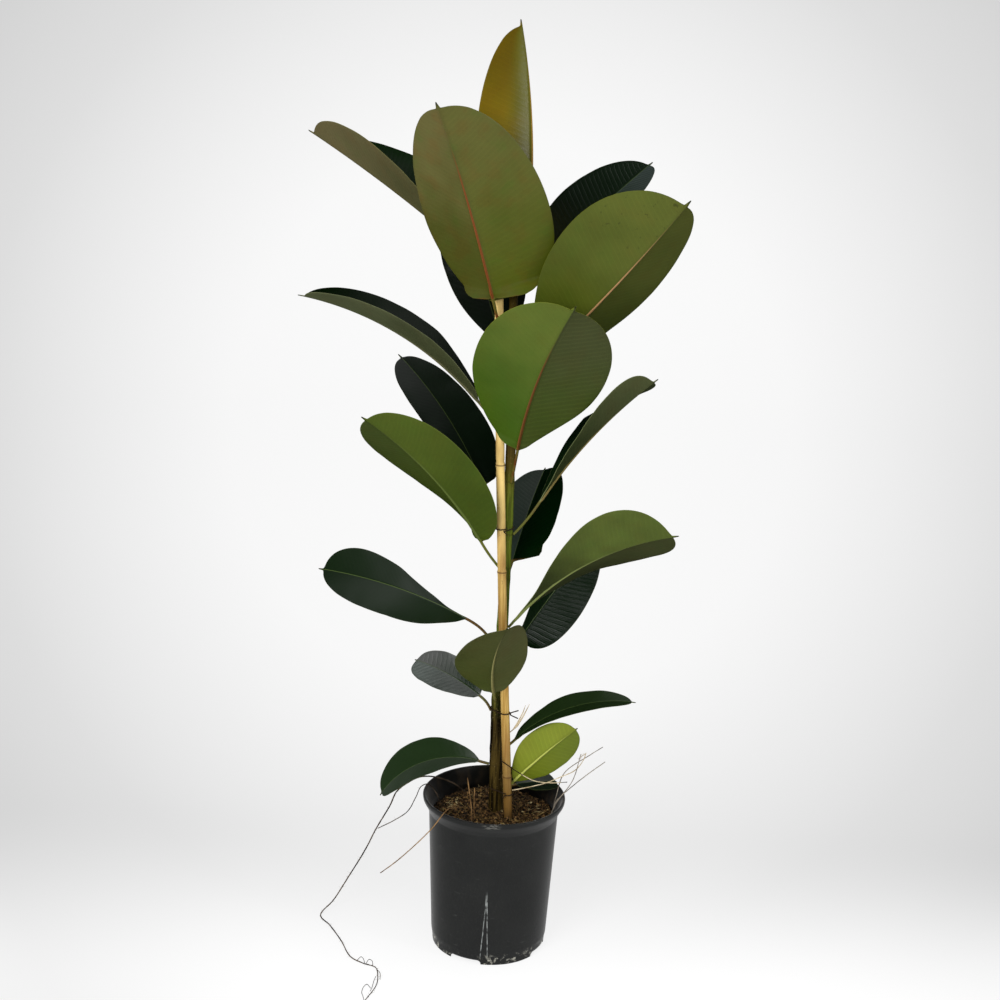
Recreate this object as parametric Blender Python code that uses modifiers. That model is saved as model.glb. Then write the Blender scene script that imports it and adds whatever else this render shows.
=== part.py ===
"""Potted rubber plant in metres, +Z up: nursery pot, soil, stem tied to a cane, leaves and loose roots."""

import math

import bmesh
import bpy
import numpy as np
from mathutils import Vector

MM = 0.001

# Pot: a turned shell standing on a flat base disc and a notched foot ring
POT_HEIGHT = 0.2127
RIM_RADIUS = 0.095
FOOT_RADIUS = 0.0756
POT_TURN_STEPS = 48
NOTCH_AZIMUTHS = (-113, -23, 67, 157)
NOTCH_WIDTH = 0.044
NOTCH_HEIGHT = 0.0062
DRAIN_AZIMUTHS = (-68, 22, 112, 202)
DRAIN_RADIUS = 0.0045
DRAIN_DISTANCE = 0.0535

# Soil: a plug that keeps clear of the pot, with plain holes for the stem and the cane
SOIL_TOP = 0.1885
SOIL_STEPS = 40
STEM_HOLE_RADIUS = 0.0094
STEM_HOLE_DEPTH = 0.085
CANE_HOLE_RADIUS = 0.0064

# Stem and cane: centre line points with the radius at each
STEM = (
    (0.0030, 0.000, 0.106, 0.0088),
    (0.0030, 0.000, 0.186, 0.0090),
    (0.0020, 0.000, 0.215, 0.0090),
    (0.0000, 0.000, 0.275, 0.0084),
    (-0.0010, 0.000, 0.346, 0.0079),
    (0.0010, 0.000, 0.460, 0.0072),
    (0.0020, 0.000, 0.593, 0.0065),
    (0.0010, 0.000, 0.750, 0.0060),
    (-0.0030, 0.000, 0.860, 0.0054),
    (-0.0050, 0.000, 0.945, 0.0048),
    (-0.0050, 0.000, 0.958, 0.0050),
    (-0.0045, 0.001, 0.972, 0.0036),
    (-0.0040, 0.002, 0.992, 0.0007),
)
CANE = (
    (0.0300, -0.0190, 0.040),
    (0.0224, -0.0177, 0.150),
    (0.0119, -0.0159, 0.302),
    (0.0000, -0.0140, 0.478),
    (-0.0115, -0.0095, 0.680),
    (-0.0193, -0.0085, 0.838),
    (-0.0225, -0.0080, 0.905),
)
CANE_RADIUS = 0.0057
CANE_NODE_SWELL = 0.0005
CANE_NODE_LENGTH = 0.004

# Ties: one turn of wire round the stem and the cane, the ends left standing off
TIE_RADIUS = 0.0008
TIE_GAP = 0.0007
TIE_LIFT = 0.0024
TIE_STEPS = 18
TIES = (
    ("tie_low", 0.2140, -115, 0.006),
    ("tie_middle", 0.3350, -20, 0.011),
    ("tie_upper", 0.5840, -60, 0.007),
)

# Loose strands: name, look, radius at the thick end and at the tip, and points from the soil outwards
STRANDS = (
    ("trailing_root", "root", 0.0011, 0.0006, (
        (-0.040, 0.056, 0.1879), (-0.057, 0.047, 0.2040), (-0.083, 0.033, 0.2180), (-0.101, 0.026, 0.2200),
        (-0.117, 0.021, 0.2130), (-0.131, 0.020, 0.2005), (-0.140, 0.024, 0.1775), (-0.159, 0.034, 0.1365),
        (-0.174, 0.042, 0.1000), (-0.200, 0.056, 0.0460), (-0.218, 0.060, 0.0120), (-0.233, 0.038, 0.0012),
        (-0.217, 0.009, 0.0012), (-0.198, -0.030, 0.0012), (-0.180, -0.073, 0.0012), (-0.163, -0.087, 0.0012),
        (-0.146, -0.096, 0.0012), (-0.141, -0.116, 0.0012), (-0.141, -0.141, 0.0012),
        (-0.152, -0.178, 0.0012))),
    ("root_branch", "root", 0.0006, 0.0006, (
        (-0.1562, 0.0335, 0.1380), (-0.133, 0.022, 0.1570), (-0.115, 0.012, 0.1760), (-0.105, 0.008, 0.1980),
        (-0.098, 0.008, 0.2145), (-0.090, 0.011, 0.2170), (-0.080, 0.015, 0.2060), (-0.071, 0.018, 0.1858))),
    ("brown_straw", "straw", 0.0008, 0.0006, (
        (-0.041, 0.005, 0.1885), (-0.052, -0.032, 0.2040), (-0.062, -0.070, 0.2165), (-0.080, -0.088, 0.1980),
        (-0.120, -0.100, 0.1595), (-0.142, -0.105, 0.1425))),
    ("dark_root", "root", 0.0007, 0.0005, (
        (0.007, -0.0224, 0.2705), (0.023, -0.0236, 0.2600), (0.037, -0.025, 0.2520), (0.052, -0.024, 0.2445),
        (0.073, -0.018, 0.2400), (0.096, -0.010, 0.2385))),
    ("pale_straw", "straw", 0.0008, 0.0005, (
        (0.0237, -0.017, 0.2265), (0.034, -0.017, 0.2290), (0.067, -0.013, 0.2370), (0.086, -0.010, 0.2450),
        (0.106, -0.006, 0.2545), (0.116, -0.004, 0.2685), (0.119, -0.004, 0.2790))),
    ("upright_straw", "straw", 0.0009, 0.0006, (
        (-0.028, -0.035, 0.1880), (-0.029, -0.030, 0.2020), (-0.033, -0.025, 0.2260),
        (-0.036, -0.022, 0.2435))),
    ("forked_straw", "straw", 0.0008, 0.0006, (
        (-0.025, -0.029, 0.1880), (-0.026, -0.027, 0.2110), (-0.026, -0.025, 0.2305))),
    ("twig_upright", "root", 0.0007, 0.0005, (
        (0.074, -0.012, 0.1853), (0.084, -0.011, 0.2100), (0.103, -0.008, 0.2400), (0.112, -0.010, 0.2795))),
    ("twig_back", "root", 0.0007, 0.0005, (
        (0.079, 0.006, 0.1842), (0.083, -0.002, 0.2150), (0.092, 0.008, 0.2430), (0.126, 0.020, 0.2660),
        (0.142, 0.020, 0.2780))),
    ("twig_front", "root", 0.0007, 0.0005, (
        (0.077, -0.004, 0.1848), (0.083, -0.006, 0.2080), (0.093, -0.004, 0.2195), (0.120, 0.000, 0.2440),
        (0.145, 0.000, 0.2655))),
)

# Leaf sections: thin blade, thick midrib and petiole on the underside
BLADE_THICKNESS = 0.0009
RIB_THICKNESS = 0.0034
PETIOLE_HALF_WIDTH = 0.0018
RIB_COLUMN = 0.09
OUTER_COLUMN = 0.58
BODY_SHARE = 0.965
DRIP_TIP_START = 0.88
DRIP_TIP_WIDTH = 0.075
PETIOLE_STATIONS = 3
BLADE_STATIONS = 11
PATH_STEPS = 120
STEM_GAP = 0.0004

# Each leaf, lowest first. Lengths are in metres and angles in degrees. z is where it leaves the stem, heading
# its azimuth, rise the petiole's first slope; pitch, roll and fold run from the blade's base to its tip.
LEAVES = (
    dict(z=0.222, heading=25, petiole=0.020, rise=0, length=0.085, width=0.055,
         pitch=(5, -8), roll=(10, 10), fold=(8, 8)),
    dict(z=0.256, heading=176, petiole=0.022, rise=10, length=0.148, width=0.090,
         pitch=(12, -62), roll=(-10, -20), fold=(10, 10), widest=0.58),
    dict(z=0.222, heading=-8, petiole=0.020, rise=30, length=0.116, width=0.067,
         pitch=(50, 42), roll=(-76, -80), fold=(10, 10)),
    dict(z=0.279, heading=2, petiole=0.020, rise=34, length=0.174, width=0.060,
         pitch=(40, -1), roll=(2, 2), fold=(22, 22)),
    dict(z=0.325, heading=155, petiole=0.026, rise=60, length=0.106, width=0.070,
         pitch=(28, 6), roll=(-10, -20), fold=(10, 10)),
    dict(z=0.348, heading=-106, petiole=0.020, rise=35, length=0.145, width=0.100,
         pitch=(62, 56), roll=(14, 4), fold=(12, 12), sweep=55),
    dict(z=0.418, heading=178, petiole=0.050, rise=50, length=0.199, width=0.134,
         pitch=(17, 19), roll=(-22, -26), fold=(10, 10), widest=0.74),
    dict(z=0.405, heading=42, petiole=0.030, rise=30, length=0.160, width=0.112,
         pitch=(46, 36), roll=(76, 70), fold=(26, 26)),
    dict(z=0.450, heading=-20, petiole=0.055, rise=50, length=0.228, width=0.145,
         pitch=(52, 10), roll=(-26, -40), fold=(16, 6), widest=0.67),
    dict(z=0.515, heading=80, petiole=0.030, rise=20, length=0.182, width=0.136,
         pitch=(38, 22), roll=(-15, -15), fold=(20, 20)),
    dict(z=0.530, heading=-165, petiole=0.045, rise=50, length=0.242, width=0.130,
         pitch=(58, 34), roll=(22, 50), fold=(23, 12), sweep=12, widest=0.6),
    dict(z=0.575, heading=153, petiole=0.065, rise=62, length=0.208, width=0.118,
         pitch=(62, 37), roll=(-8, -14), fold=(10, 10), widest=0.6),
    dict(z=0.575, heading=-4, petiole=0.055, rise=50, length=0.210, width=0.100,
         pitch=(56, 44), roll=(-8, -32), fold=(12, 14), widest=0.6),
    dict(z=0.645, heading=-72, petiole=0.052, rise=64, length=0.226, width=0.180,
         pitch=(68, 58), roll=(-30, -44), fold=(18, 18), sweep=38),
    dict(z=0.700, heading=176, petiole=0.055, rise=50, length=0.266, width=0.110,
         pitch=(48, 9), roll=(0, 0), fold=(21, 21)),
    dict(z=0.785, heading=127, petiole=0.040, rise=50, length=0.180, width=0.114,
         pitch=(62, 50), roll=(-5, -5), fold=(12, 12)),
    dict(z=0.775, heading=-22, petiole=0.032, rise=44, length=0.292, width=0.157,
         pitch=(46, 53), roll=(-43, -49), fold=(28, 28), widest=0.5),
    dict(z=0.813, heading=-127, petiole=0.075, rise=58, length=0.259, width=0.184,
         pitch=(70, 60), roll=(27, 29), fold=(25, 25), sweep=-6, widest=0.46),
    dict(z=0.885, heading=31, petiole=0.040, rise=44, length=0.208, width=0.125,
         pitch=(45, 31), roll=(18, 10), fold=(16, 16)),
    dict(z=0.888, heading=154, petiole=0.050, rise=36, length=0.298, width=0.146,
         pitch=(33, 25), roll=(-6, 24), fold=(30, 24)),
    dict(z=0.945, heading=-30, petiole=0.038, rise=50, length=0.238, width=0.134,
         pitch=(84, 110), roll=(0, 0), fold=(44, 44), widest=0.48, blunt=0.45),
)


def clear_scene():
    for old in list(bpy.data.objects):
        bpy.data.objects.remove(old, do_unlink=True)


def collection(name, hidden):
    made = bpy.data.collections.new(name)
    made.hide_render = hidden
    bpy.context.scene.collection.children.link(made)
    return made


def material(name, colour, roughness):
    made = bpy.data.materials.new(name)
    made.use_nodes = True
    shader = made.node_tree.nodes["Principled BSDF"]
    shader.inputs["Base Color"].default_value = (*colour, 1)
    shader.inputs["Roughness"].default_value = roughness
    return made


def add_object(name, data, group, look=None):
    made = bpy.data.objects.new(name, data)
    group.objects.link(made)
    if look:
        data.materials.append(look)
    return made


def shade_smooth(mesh):
    for face in mesh.polygons:
        face.use_smooth = True


def turned(name, profile, steps, group, look):
    """A solid turned about Z from a profile of (radius, height), from the axis over the top, then down."""
    mesh = bpy.data.meshes.new(name)
    edges = [(i, i + 1) for i in range(len(profile) - 1)]
    mesh.from_pydata([(radius, 0, height) for radius, height in profile], edges, [])
    made = add_object(name, mesh, group, look)
    screw = made.modifiers.new("Turn", "SCREW")
    screw.axis = "Z"
    screw.steps = steps
    screw.render_steps = steps
    screw.use_merge_vertices = True
    screw.merge_threshold = 0.00005
    screw.use_smooth_shade = True
    return made


def tube(name, points, group, look, sides=2):
    """A round strand through points of (x, y, z, radius)."""
    curve = bpy.data.curves.new(name, "CURVE")
    curve.dimensions = "3D"
    curve.bevel_depth = MM
    curve.bevel_resolution = sides
    curve.use_fill_caps = True
    spline = curve.splines.new("POLY")
    spline.points.add(len(points) - 1)
    for knot, (x, y, z, radius) in zip(spline.points, points):
        knot.co = (x, y, z, 1)
        knot.radius = radius / MM
    spline.use_smooth = True
    return add_object(name, curve, group, look)


def rod_cutter(name, foot, top, radius, group, sides=24):
    """A straight cutter between two points."""
    mesh = bpy.data.meshes.new(name)
    rod = bmesh.new()
    bmesh.ops.create_cone(
        rod, cap_ends=True, segments=sides, radius1=radius, radius2=radius, depth=(top - foot).length
    )
    turn = (top - foot).to_track_quat("Z", "Y").to_matrix()
    bmesh.ops.rotate(rod, verts=rod.verts, matrix=turn)
    bmesh.ops.translate(rod, verts=rod.verts, vec=(top + foot) / 2)
    rod.to_mesh(mesh)
    rod.free()
    return hide_cutter(add_object(name, mesh, group))


def hide_cutter(cutter):
    cutter.hide_render = True
    cutter.display_type = "WIRE"
    return cutter


def cut(body, cutter):
    boolean = body.modifiers.new("Cut " + cutter.name, "BOOLEAN")
    boolean.operation = "DIFFERENCE"
    boolean.solver = "EXACT"
    boolean.object = cutter


def stem_at(height):
    """Centre and radius of the stem at a height."""
    heights = [point[2] for point in STEM]
    x, y, radius = (np.interp(height, heights, [point[k] for point in STEM]) for k in (0, 1, 3))
    return np.array([x, y, height]), radius


def cane_at(height):
    """Centre of the cane at a height."""
    heights = [knot[2] for knot in CANE]
    x, y = (np.interp(height, heights, [knot[k] for knot in CANE]) for k in (0, 1))
    return np.array([x, y, height])


def tie_points(height, azimuth, tail):
    """One rising turn round the stem and the cane from this azimuth, with a tail standing off at each end."""
    stem, stem_radius = stem_at(height)
    cane = cane_at(height)
    loop = []
    for k in range(TIE_STEPS + 1):
        angle = math.radians(azimuth) + math.tau * k / TIE_STEPS
        outward = np.array([math.cos(angle), math.sin(angle), 0])
        reach = TIE_GAP + TIE_RADIUS
        rounds = [stem + (stem_radius + reach) * outward, cane + (CANE_RADIUS + reach) * outward]
        farthest = max(rounds, key=outward.dot)
        loop.append(farthest + np.array([0, 0, TIE_LIFT * (k / TIE_STEPS - 0.5)]))
    first = loop[0] + np.array([*(tail * outward[:2]), -0.3 * tail])
    last = loop[-1] + np.array([*(tail * outward[:2]), 0.5 * tail])
    return [(*point, TIE_RADIUS) for point in [first, *loop, last]]


def blend(pair, share):
    return pair[0] * (1 - share) + pair[1] * share


def half_outline(share, widest, blunt):
    """Half width along the blade as a share of the greatest: a rounded oval ending in a small drip tip."""
    slope = blunt * widest / (1 - widest)
    u = np.clip(share / BODY_SHARE, 0, 1)
    body = (u / widest) ** slope * ((1 - u) / (1 - widest)) ** blunt
    rise = np.clip((share - DRIP_TIP_START) / 0.04, 0, 1)
    tip = DRIP_TIP_WIDTH * rise * np.clip((1.004 - share) / 0.09, 0, 1)
    return np.hypot(body, tip)


def leaf_path(leaf):
    """Distance, centre, sideways and upward directions along the petiole and the midrib."""
    reach = leaf["petiole"] + leaf["length"]
    along = np.linspace(0, reach, PATH_STEPS + 1)
    share = np.clip((along - leaf["petiole"]) / leaf["length"], 0, 1)
    eased = np.clip(along / leaf["petiole"], 0, 1)
    eased = eased * eased * (3 - 2 * eased)
    slope = np.where(
        along < leaf["petiole"],
        blend((leaf["rise"], leaf["pitch"][0]), eased),
        blend(leaf["pitch"], share),
    )
    slope = np.radians(slope)
    turn = np.radians(leaf["heading"] + leaf.get("sweep", 0) * share)
    twist = np.radians(blend(leaf["roll"], share)) * np.clip(along / leaf["petiole"], 0, 1)
    forward = np.stack([np.cos(slope) * np.cos(turn), np.cos(slope) * np.sin(turn), np.sin(slope)], 1)
    level = np.stack([-np.sin(turn), np.cos(turn), 0 * turn], 1)
    upright = np.cross(forward, level)
    side = np.cos(twist)[:, None] * level + np.sin(twist)[:, None] * upright
    up = np.cos(twist)[:, None] * upright - np.sin(twist)[:, None] * level
    centre, radius = stem_at(leaf["z"])
    outward = np.array([np.cos(turn[0]), np.sin(turn[0]), 0])
    start = centre + (radius + STEM_GAP) * outward
    steps = (forward[1:] + forward[:-1]) / 2 * np.diff(along)[:, None]
    path = np.vstack([start, start + np.cumsum(steps, 0)])
    return along, path, side, up


def leaf_point(leaf, path, distance, column):
    """A point of the upper surface, at this distance along and at this column from -1 to 1."""
    along, centres, sides, ups = path
    centre, side, up = (
        np.array([np.interp(distance, along, row[:, k]) for k in range(3)]) for row in (centres, sides, ups)
    )
    share = min(max((distance - leaf["petiole"]) / leaf["length"], 0), 1)
    outline = half_outline(share, leaf.get("widest", 0.55), leaf.get("blunt", 0.5))
    in_blade = leaf["width"] / 2 * float(outline)
    fade = 1 - min(max((share - 0.7) / 0.3, 0), 1)
    half = math.hypot(in_blade, PETIOLE_HALF_WIDTH * (0.25 + 0.75 * fade))
    fold = math.radians(blend(leaf["fold"], share)) * min(share / 0.05, 1)
    offset = abs(column) * half
    return centre + offset * (math.cos(fold) * math.copysign(1, column) * side + math.sin(fold) * up)


def rib_weight(leaf, distance, column):
    """How much of the midrib's thickness the leaf has here: full on the petiole, fading along the blade."""
    share = min(max((distance - leaf["petiole"]) / leaf["length"], 0), 1)
    if share <= 0:
        return 1.0
    across = 1.0 if abs(column) < 0.01 else 0.0
    return across * (0.75 * (1 - share) ** 1.2) if share > 0.02 else 0.8


def leaf_object(name, leaf, group, look):
    """One closed leaf: a triangulated grid along the path, given its thickness on the underside."""
    columns = (-1, -OUTER_COLUMN, -RIB_COLUMN, 0, RIB_COLUMN, OUTER_COLUMN, 1)
    petiole = np.linspace(0, leaf["petiole"], PETIOLE_STATIONS + 1)
    angles = np.linspace(0, math.pi, BLADE_STATIONS + 1)[1:]
    blade = leaf["petiole"] + leaf["length"] * 0.998 * (0.5 - 0.5 * np.cos(angles))
    stations = np.concatenate([petiole, blade])
    path = leaf_path(leaf)
    sheet = bmesh.new()
    bmesh.ops.create_grid(sheet, x_segments=len(stations) - 1, y_segments=len(columns) - 1, size=1)
    weights = []
    for vertex in sheet.verts:
        i = round((vertex.co.x + 1) / 2 * (len(stations) - 1))
        j = round((vertex.co.y + 1) / 2 * (len(columns) - 1))
        weights.append(rib_weight(leaf, stations[i], columns[j]))
        vertex.co = leaf_point(leaf, path, stations[i], columns[j])
    bmesh.ops.triangulate(sheet, faces=sheet.faces)
    mesh = bpy.data.meshes.new(name)
    sheet.to_mesh(mesh)
    sheet.free()
    shade_smooth(mesh)
    made = add_object(name, mesh, group, look)
    rib = made.vertex_groups.new(name="rib")
    for index, weight in enumerate(weights):
        rib.add([index], weight, "REPLACE")
    solidify = made.modifiers.new("Thickness", "SOLIDIFY")
    solidify.thickness = RIB_THICKNESS
    solidify.offset = -1
    solidify.vertex_group = rib.name
    solidify.thickness_vertex_group = BLADE_THICKNESS / RIB_THICKNESS
    return made


def polar(radius, azimuth, height):
    angle = math.radians(azimuth)
    return Vector((radius * math.cos(angle), radius * math.sin(angle), height))


clear_scene()
plant = collection("rubber_plant", False)
cutters = collection("cutters", True)

pot_look = material("pot", (0.022, 0.023, 0.023), 0.5)
soil_look = material("soil", (0.035, 0.02, 0.012), 0.95)
stem_look = material("stem", (0.10, 0.11, 0.03), 0.6)
cane_look = material("cane", (0.50, 0.34, 0.12), 0.45)
tie_look = material("tie", (0.02, 0.015, 0.012), 0.5)
root_look = material("root", (0.06, 0.04, 0.025), 0.8)
straw_look = material("straw", (0.35, 0.27, 0.16), 0.7)
leaf_look = material("leaf", (0.02, 0.06, 0.02), 0.3)

# Pot
pot_profile = (
    (0, 0.0022),
    (0.0600, 0.0022),
    (0.0635, 0.0085),
    (0.0740, 0.0095),
    (0.0758, 0.0160),
    (0.0843, 0.1900),
    (0.0874, 0.2000),
    (0.0908, 0.2108),
    (0.0928, POT_HEIGHT),
    (0.0944, 0.2122),
    (RIM_RADIUS, 0.2105),
    (0.0944, 0.2062),
    (0.0900, 0.1985),
    (0.0862, 0.1905),
    (0.0778, 0.0180),
    (0.0764, 0.0100),
    (FOOT_RADIUS, 0),
    (0.0736, 0),
    (0.0732, 0.0066),
    (0.0668, 0.0062),
    (0.0625, 0),
    (0, 0),
)
pot = turned("pot", pot_profile, POT_TURN_STEPS, plant, pot_look)
for number, azimuth in enumerate(NOTCH_AZIMUTHS):
    notch = bpy.data.meshes.new(f"notch_{number}")
    block = bmesh.new()
    bmesh.ops.create_cube(block, size=1)
    bmesh.ops.scale(block, vec=(0.016, NOTCH_WIDTH, 2 * NOTCH_HEIGHT), verts=block.verts)
    bmesh.ops.bevel(
        block,
        geom=[edge for edge in block.edges if abs(edge.verts[0].co.y) == abs(edge.verts[1].co.y)
              and edge.verts[0].co.x != edge.verts[1].co.x],
        offset=0.005,
        segments=2,
        affect="EDGES",
        profile=0.5,
    )
    bmesh.ops.translate(block, vec=(0.0760, 0, 0), verts=block.verts)
    turn = polar(1, azimuth, 0).to_track_quat("X", "Z").to_matrix()
    bmesh.ops.rotate(block, verts=block.verts, matrix=turn)
    block.to_mesh(notch)
    block.free()
    cut(pot, hide_cutter(add_object(f"notch_{number}", notch, cutters)))
for number, azimuth in enumerate(DRAIN_AZIMUTHS):
    foot = polar(DRAIN_DISTANCE, azimuth, -0.01)
    drain = rod_cutter(f"drain_{number}", foot, foot + Vector((0, 0, 0.03)), DRAIN_RADIUS, cutters, 16)
    cut(pot, drain)

# Soil
soil_profile = (
    (0, SOIL_TOP),
    (0.016, 0.1885),
    (0.034, 0.1868),
    (0.052, 0.1880),
    (0.070, 0.1862),
    (0.0800, 0.1835),
    (0.0836, 0.1815),
    (0.0753, 0.0163),
    (0.0734, 0.0100),
    (0.0632, 0.0090),
    (0.0596, 0.0026),
    (0, 0.0026),
)
soil = turned("soil", soil_profile, SOIL_STEPS, plant, soil_look)
hole_top = Vector((STEM[0][0], 0, 0.21))
hole_foot = Vector((STEM[0][0], 0, SOIL_TOP - STEM_HOLE_DEPTH))
cut(soil, rod_cutter("stem_hole", hole_foot, hole_top, STEM_HOLE_RADIUS, cutters))
cane_knots = [Vector(knot) for knot in CANE]
cane_line = (cane_knots[1] - cane_knots[0]).normalized()
cane_hole_foot = cane_knots[0] - 0.0006 * cane_line
cane_hole_top = cane_knots[0] + 0.17 * cane_line
cut(soil, rod_cutter("cane_hole", cane_hole_foot, cane_hole_top, CANE_HOLE_RADIUS, cutters))

# Stem
tube("stem", STEM, plant, stem_look, 4)

# Cane, swelling a little at each joint
cane_points = [(*cane_knots[0], CANE_RADIUS)]
for before, joint, after in zip(cane_knots, cane_knots[1:], cane_knots[2:]):
    below = joint + CANE_NODE_LENGTH * (before - joint).normalized()
    above = joint + CANE_NODE_LENGTH * (after - joint).normalized()
    cane_points += [(*below, CANE_RADIUS), (*joint, CANE_RADIUS + CANE_NODE_SWELL), (*above, CANE_RADIUS)]
cane_points.append((*cane_knots[-1], CANE_RADIUS))
tube("cane", cane_points, plant, cane_look, 3)

# Ties
for name, height, azimuth, tail in TIES:
    tube(name, tie_points(height, azimuth, tail), plant, tie_look, 2)

# Loose roots, straws and twigs
looks = {"root": root_look, "straw": straw_look}
for name, look, thick, thin, line in STRANDS:
    radii = np.linspace(thick, thin, len(line))
    tube(name, [(*point, radius) for point, radius in zip(line, radii)], plant, looks[look], 2)

# Leaves
for number, leaf in enumerate(LEAVES, 1):
    leaf_object(f"leaf_{number:02d}", leaf, plant, leaf_look)
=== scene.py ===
"""Potted rubber plant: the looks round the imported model, put together from the pot upwards."""

import math

import bmesh
import bpy
import numpy as np
from mathutils import Matrix, Vector, noise


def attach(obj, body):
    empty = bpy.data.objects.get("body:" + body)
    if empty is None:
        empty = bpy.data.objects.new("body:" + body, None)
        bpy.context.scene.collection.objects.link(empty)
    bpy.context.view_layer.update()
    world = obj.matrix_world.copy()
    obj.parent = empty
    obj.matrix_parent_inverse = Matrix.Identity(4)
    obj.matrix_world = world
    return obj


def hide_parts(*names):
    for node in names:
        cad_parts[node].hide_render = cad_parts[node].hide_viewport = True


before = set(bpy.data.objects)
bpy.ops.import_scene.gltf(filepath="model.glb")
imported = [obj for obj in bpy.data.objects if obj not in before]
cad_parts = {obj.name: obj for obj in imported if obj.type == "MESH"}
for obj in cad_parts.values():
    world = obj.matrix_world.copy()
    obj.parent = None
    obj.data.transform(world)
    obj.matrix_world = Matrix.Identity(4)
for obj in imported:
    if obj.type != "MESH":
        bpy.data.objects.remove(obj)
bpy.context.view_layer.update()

# Pot: a thin nursery pot, injection moulded in black polypropylene, with a rolled lip, a notched foot ring
# and drain holes. Its front wall was pinched once into a shallow dent with painted highlights along its two
# creases, handling has scuffed the lip, and hard water has left lime round the foot. The inner wall above
# the soil is painted dark as shade, with soil stains.
POT_PROFILE = (
    (0, 0.0022), (0.06, 0.0022), (0.0635, 0.0085), (0.074, 0.0095), (0.0758, 0.016), (0.0843, 0.19),
    (0.0874, 0.2), (0.0908, 0.2108), (0.0928, 0.2127), (0.0944, 0.2122), (0.095, 0.2105), (0.0944, 0.2062),
    (0.09, 0.1985), (0.0862, 0.1905), (0.0778, 0.018), (0.0764, 0.01), (0.0756, 0), (0.0736, 0),
    (0.0732, 0.0066), (0.0668, 0.0062), (0.0625, 0), (0, 0),
)
POT_CORNER = 0.0016
POT_ROW = 0.004
POT_COLUMN_DEGREES = 2.4
NOTCH_AZIMUTHS = (-113, -23, 67, 157)
NOTCH_SIZE = (0.016, 0.044, 0.0124)
NOTCH_CORNER = 0.005
NOTCH_DISTANCE = 0.0760
DRAIN_AZIMUTHS = (-68, 22, 112, 202)
DRAIN_RADIUS = 0.0045
DRAIN_DISTANCE = 0.0535
PINCH_TOP = 0.1061
PINCH_FOOT = 0.0135
PINCH_APEX = -92.3
PINCH_LEANS = (-4.4, 2.6)
PINCH_DEPTH = 0.0007
PINCH_WALL_RADIUS = 0.0765
FINE_TURNS = (-103, -82, 0.5)
WALL_MIDDLE = 0.076
WALL_LEAN = 0.0474
WALL_FLARE = 0.37
WALL_FLARE_HEIGHT = 0.19


class Wire:
    """A socket in a node tree. Arithmetic on it adds Math or Vector Math nodes and gives another wire."""

    def __init__(self, tree, socket=None):
        self.tree = tree
        self.socket = socket

    def add(self, kind, settings=(), values=(), output=0):
        """Adds a node, makes its settings, fills its inputs with values or links, and gives one output."""
        node = self.tree.nodes.new(kind)
        for name, setting in dict(settings).items():
            if name == "stops":
                ramp = node.color_ramp.elements
                ramp.remove(ramp[1])
                ramp[0].position, ramp[0].color = setting[0][0], (*setting[0][1], 1)
                for place, colour in setting[1:]:
                    ramp.new(place).color = (*colour, 1)
            else:
                setattr(node, name, setting)
        for key, value in dict(values).items():
            socket = node.inputs[key]
            if isinstance(value, Wire):
                self.tree.links.new(value.socket, socket)
            elif socket.type == "VECTOR" and isinstance(value, (int, float)):
                socket.default_value = (value,) * 3
            elif socket.type == "RGBA":
                socket.default_value = (*value, 1)
            else:
                socket.default_value = value
        return Wire(self.tree, node.outputs[output])

    def maths(self, operation, first, second=0.0):
        """A Math node, or a Vector Math node where either side is a vector or a colour."""
        wires = [side for side in (first, second) if isinstance(side, Wire)]
        vector = any(wire.socket.type in ("VECTOR", "RGBA") for wire in wires)
        kind = "ShaderNodeVectorMath" if vector else "ShaderNodeMath"
        return self.add(kind, {"operation": operation}, {0: first, 1: second})

    def __add__(self, other):
        return self.maths("ADD", self, other)

    def __radd__(self, other):
        return self.maths("ADD", other, self)

    def __sub__(self, other):
        return self.maths("SUBTRACT", self, other)

    def __rsub__(self, other):
        return self.maths("SUBTRACT", other, self)

    def __mul__(self, other):
        return self.maths("MULTIPLY", self, other)

    def __rmul__(self, other):
        return self.maths("MULTIPLY", other, self)

    def __truediv__(self, other):
        return self.maths("DIVIDE", self, other)

    def __pow__(self, other):
        return self.maths("POWER", self, other)

    def __lt__(self, other):
        return self.maths("LESS_THAN", self, other)

    def __gt__(self, other):
        return self.maths("GREATER_THAN", self, other)

    def __abs__(self):
        return self.maths("ABSOLUTE", self)

    def axes(self):
        """The X, Y and Z of a vector, each as a wire."""
        node = self.add("ShaderNodeSeparateXYZ", {}, {0: self}).socket.node
        return [Wire(self.tree, socket) for socket in node.outputs]

    def vector(self, *parts):
        """A vector of up to three numbers or wires."""
        return self.add("ShaderNodeCombineXYZ", {}, dict(enumerate(parts)))


def between(wire, low, high):
    """Rises smoothly from 0 to 1 as the wire goes from low to high, or falls where low is the greater."""
    settings = {"interpolation_type": "SMOOTHSTEP"}
    return wire.add("ShaderNodeMapRange", settings, {"Value": wire, "From Min": low, "From Max": high})


def patches(place, scale, detail=3.0, stretch=(1, 1, 1)):
    """Cloudy noise from 0 to 1, with features of about 1/scale metres, stretched along the axes."""
    return place.add("ShaderNodeTexNoise", {}, {"Vector": place * stretch, "Scale": scale, "Detail": detail})


def mixed(mask, first, second):
    """The first colour where the mask is 0, the second where it is 1."""
    return mask.add("ShaderNodeMix", {"data_type": "RGBA"}, {0: mask, 6: first, 7: second}, 2)


def paint(red, green, blue):
    """A colour given from 0 to 255 as seen on a screen, as the linear numbers that Blender takes."""
    return tuple((level / 255 / 12.92 if level <= 10 else ((level / 255 + 0.055) / 1.055) ** 2.4)
                 for level in (red, green, blue))


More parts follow.
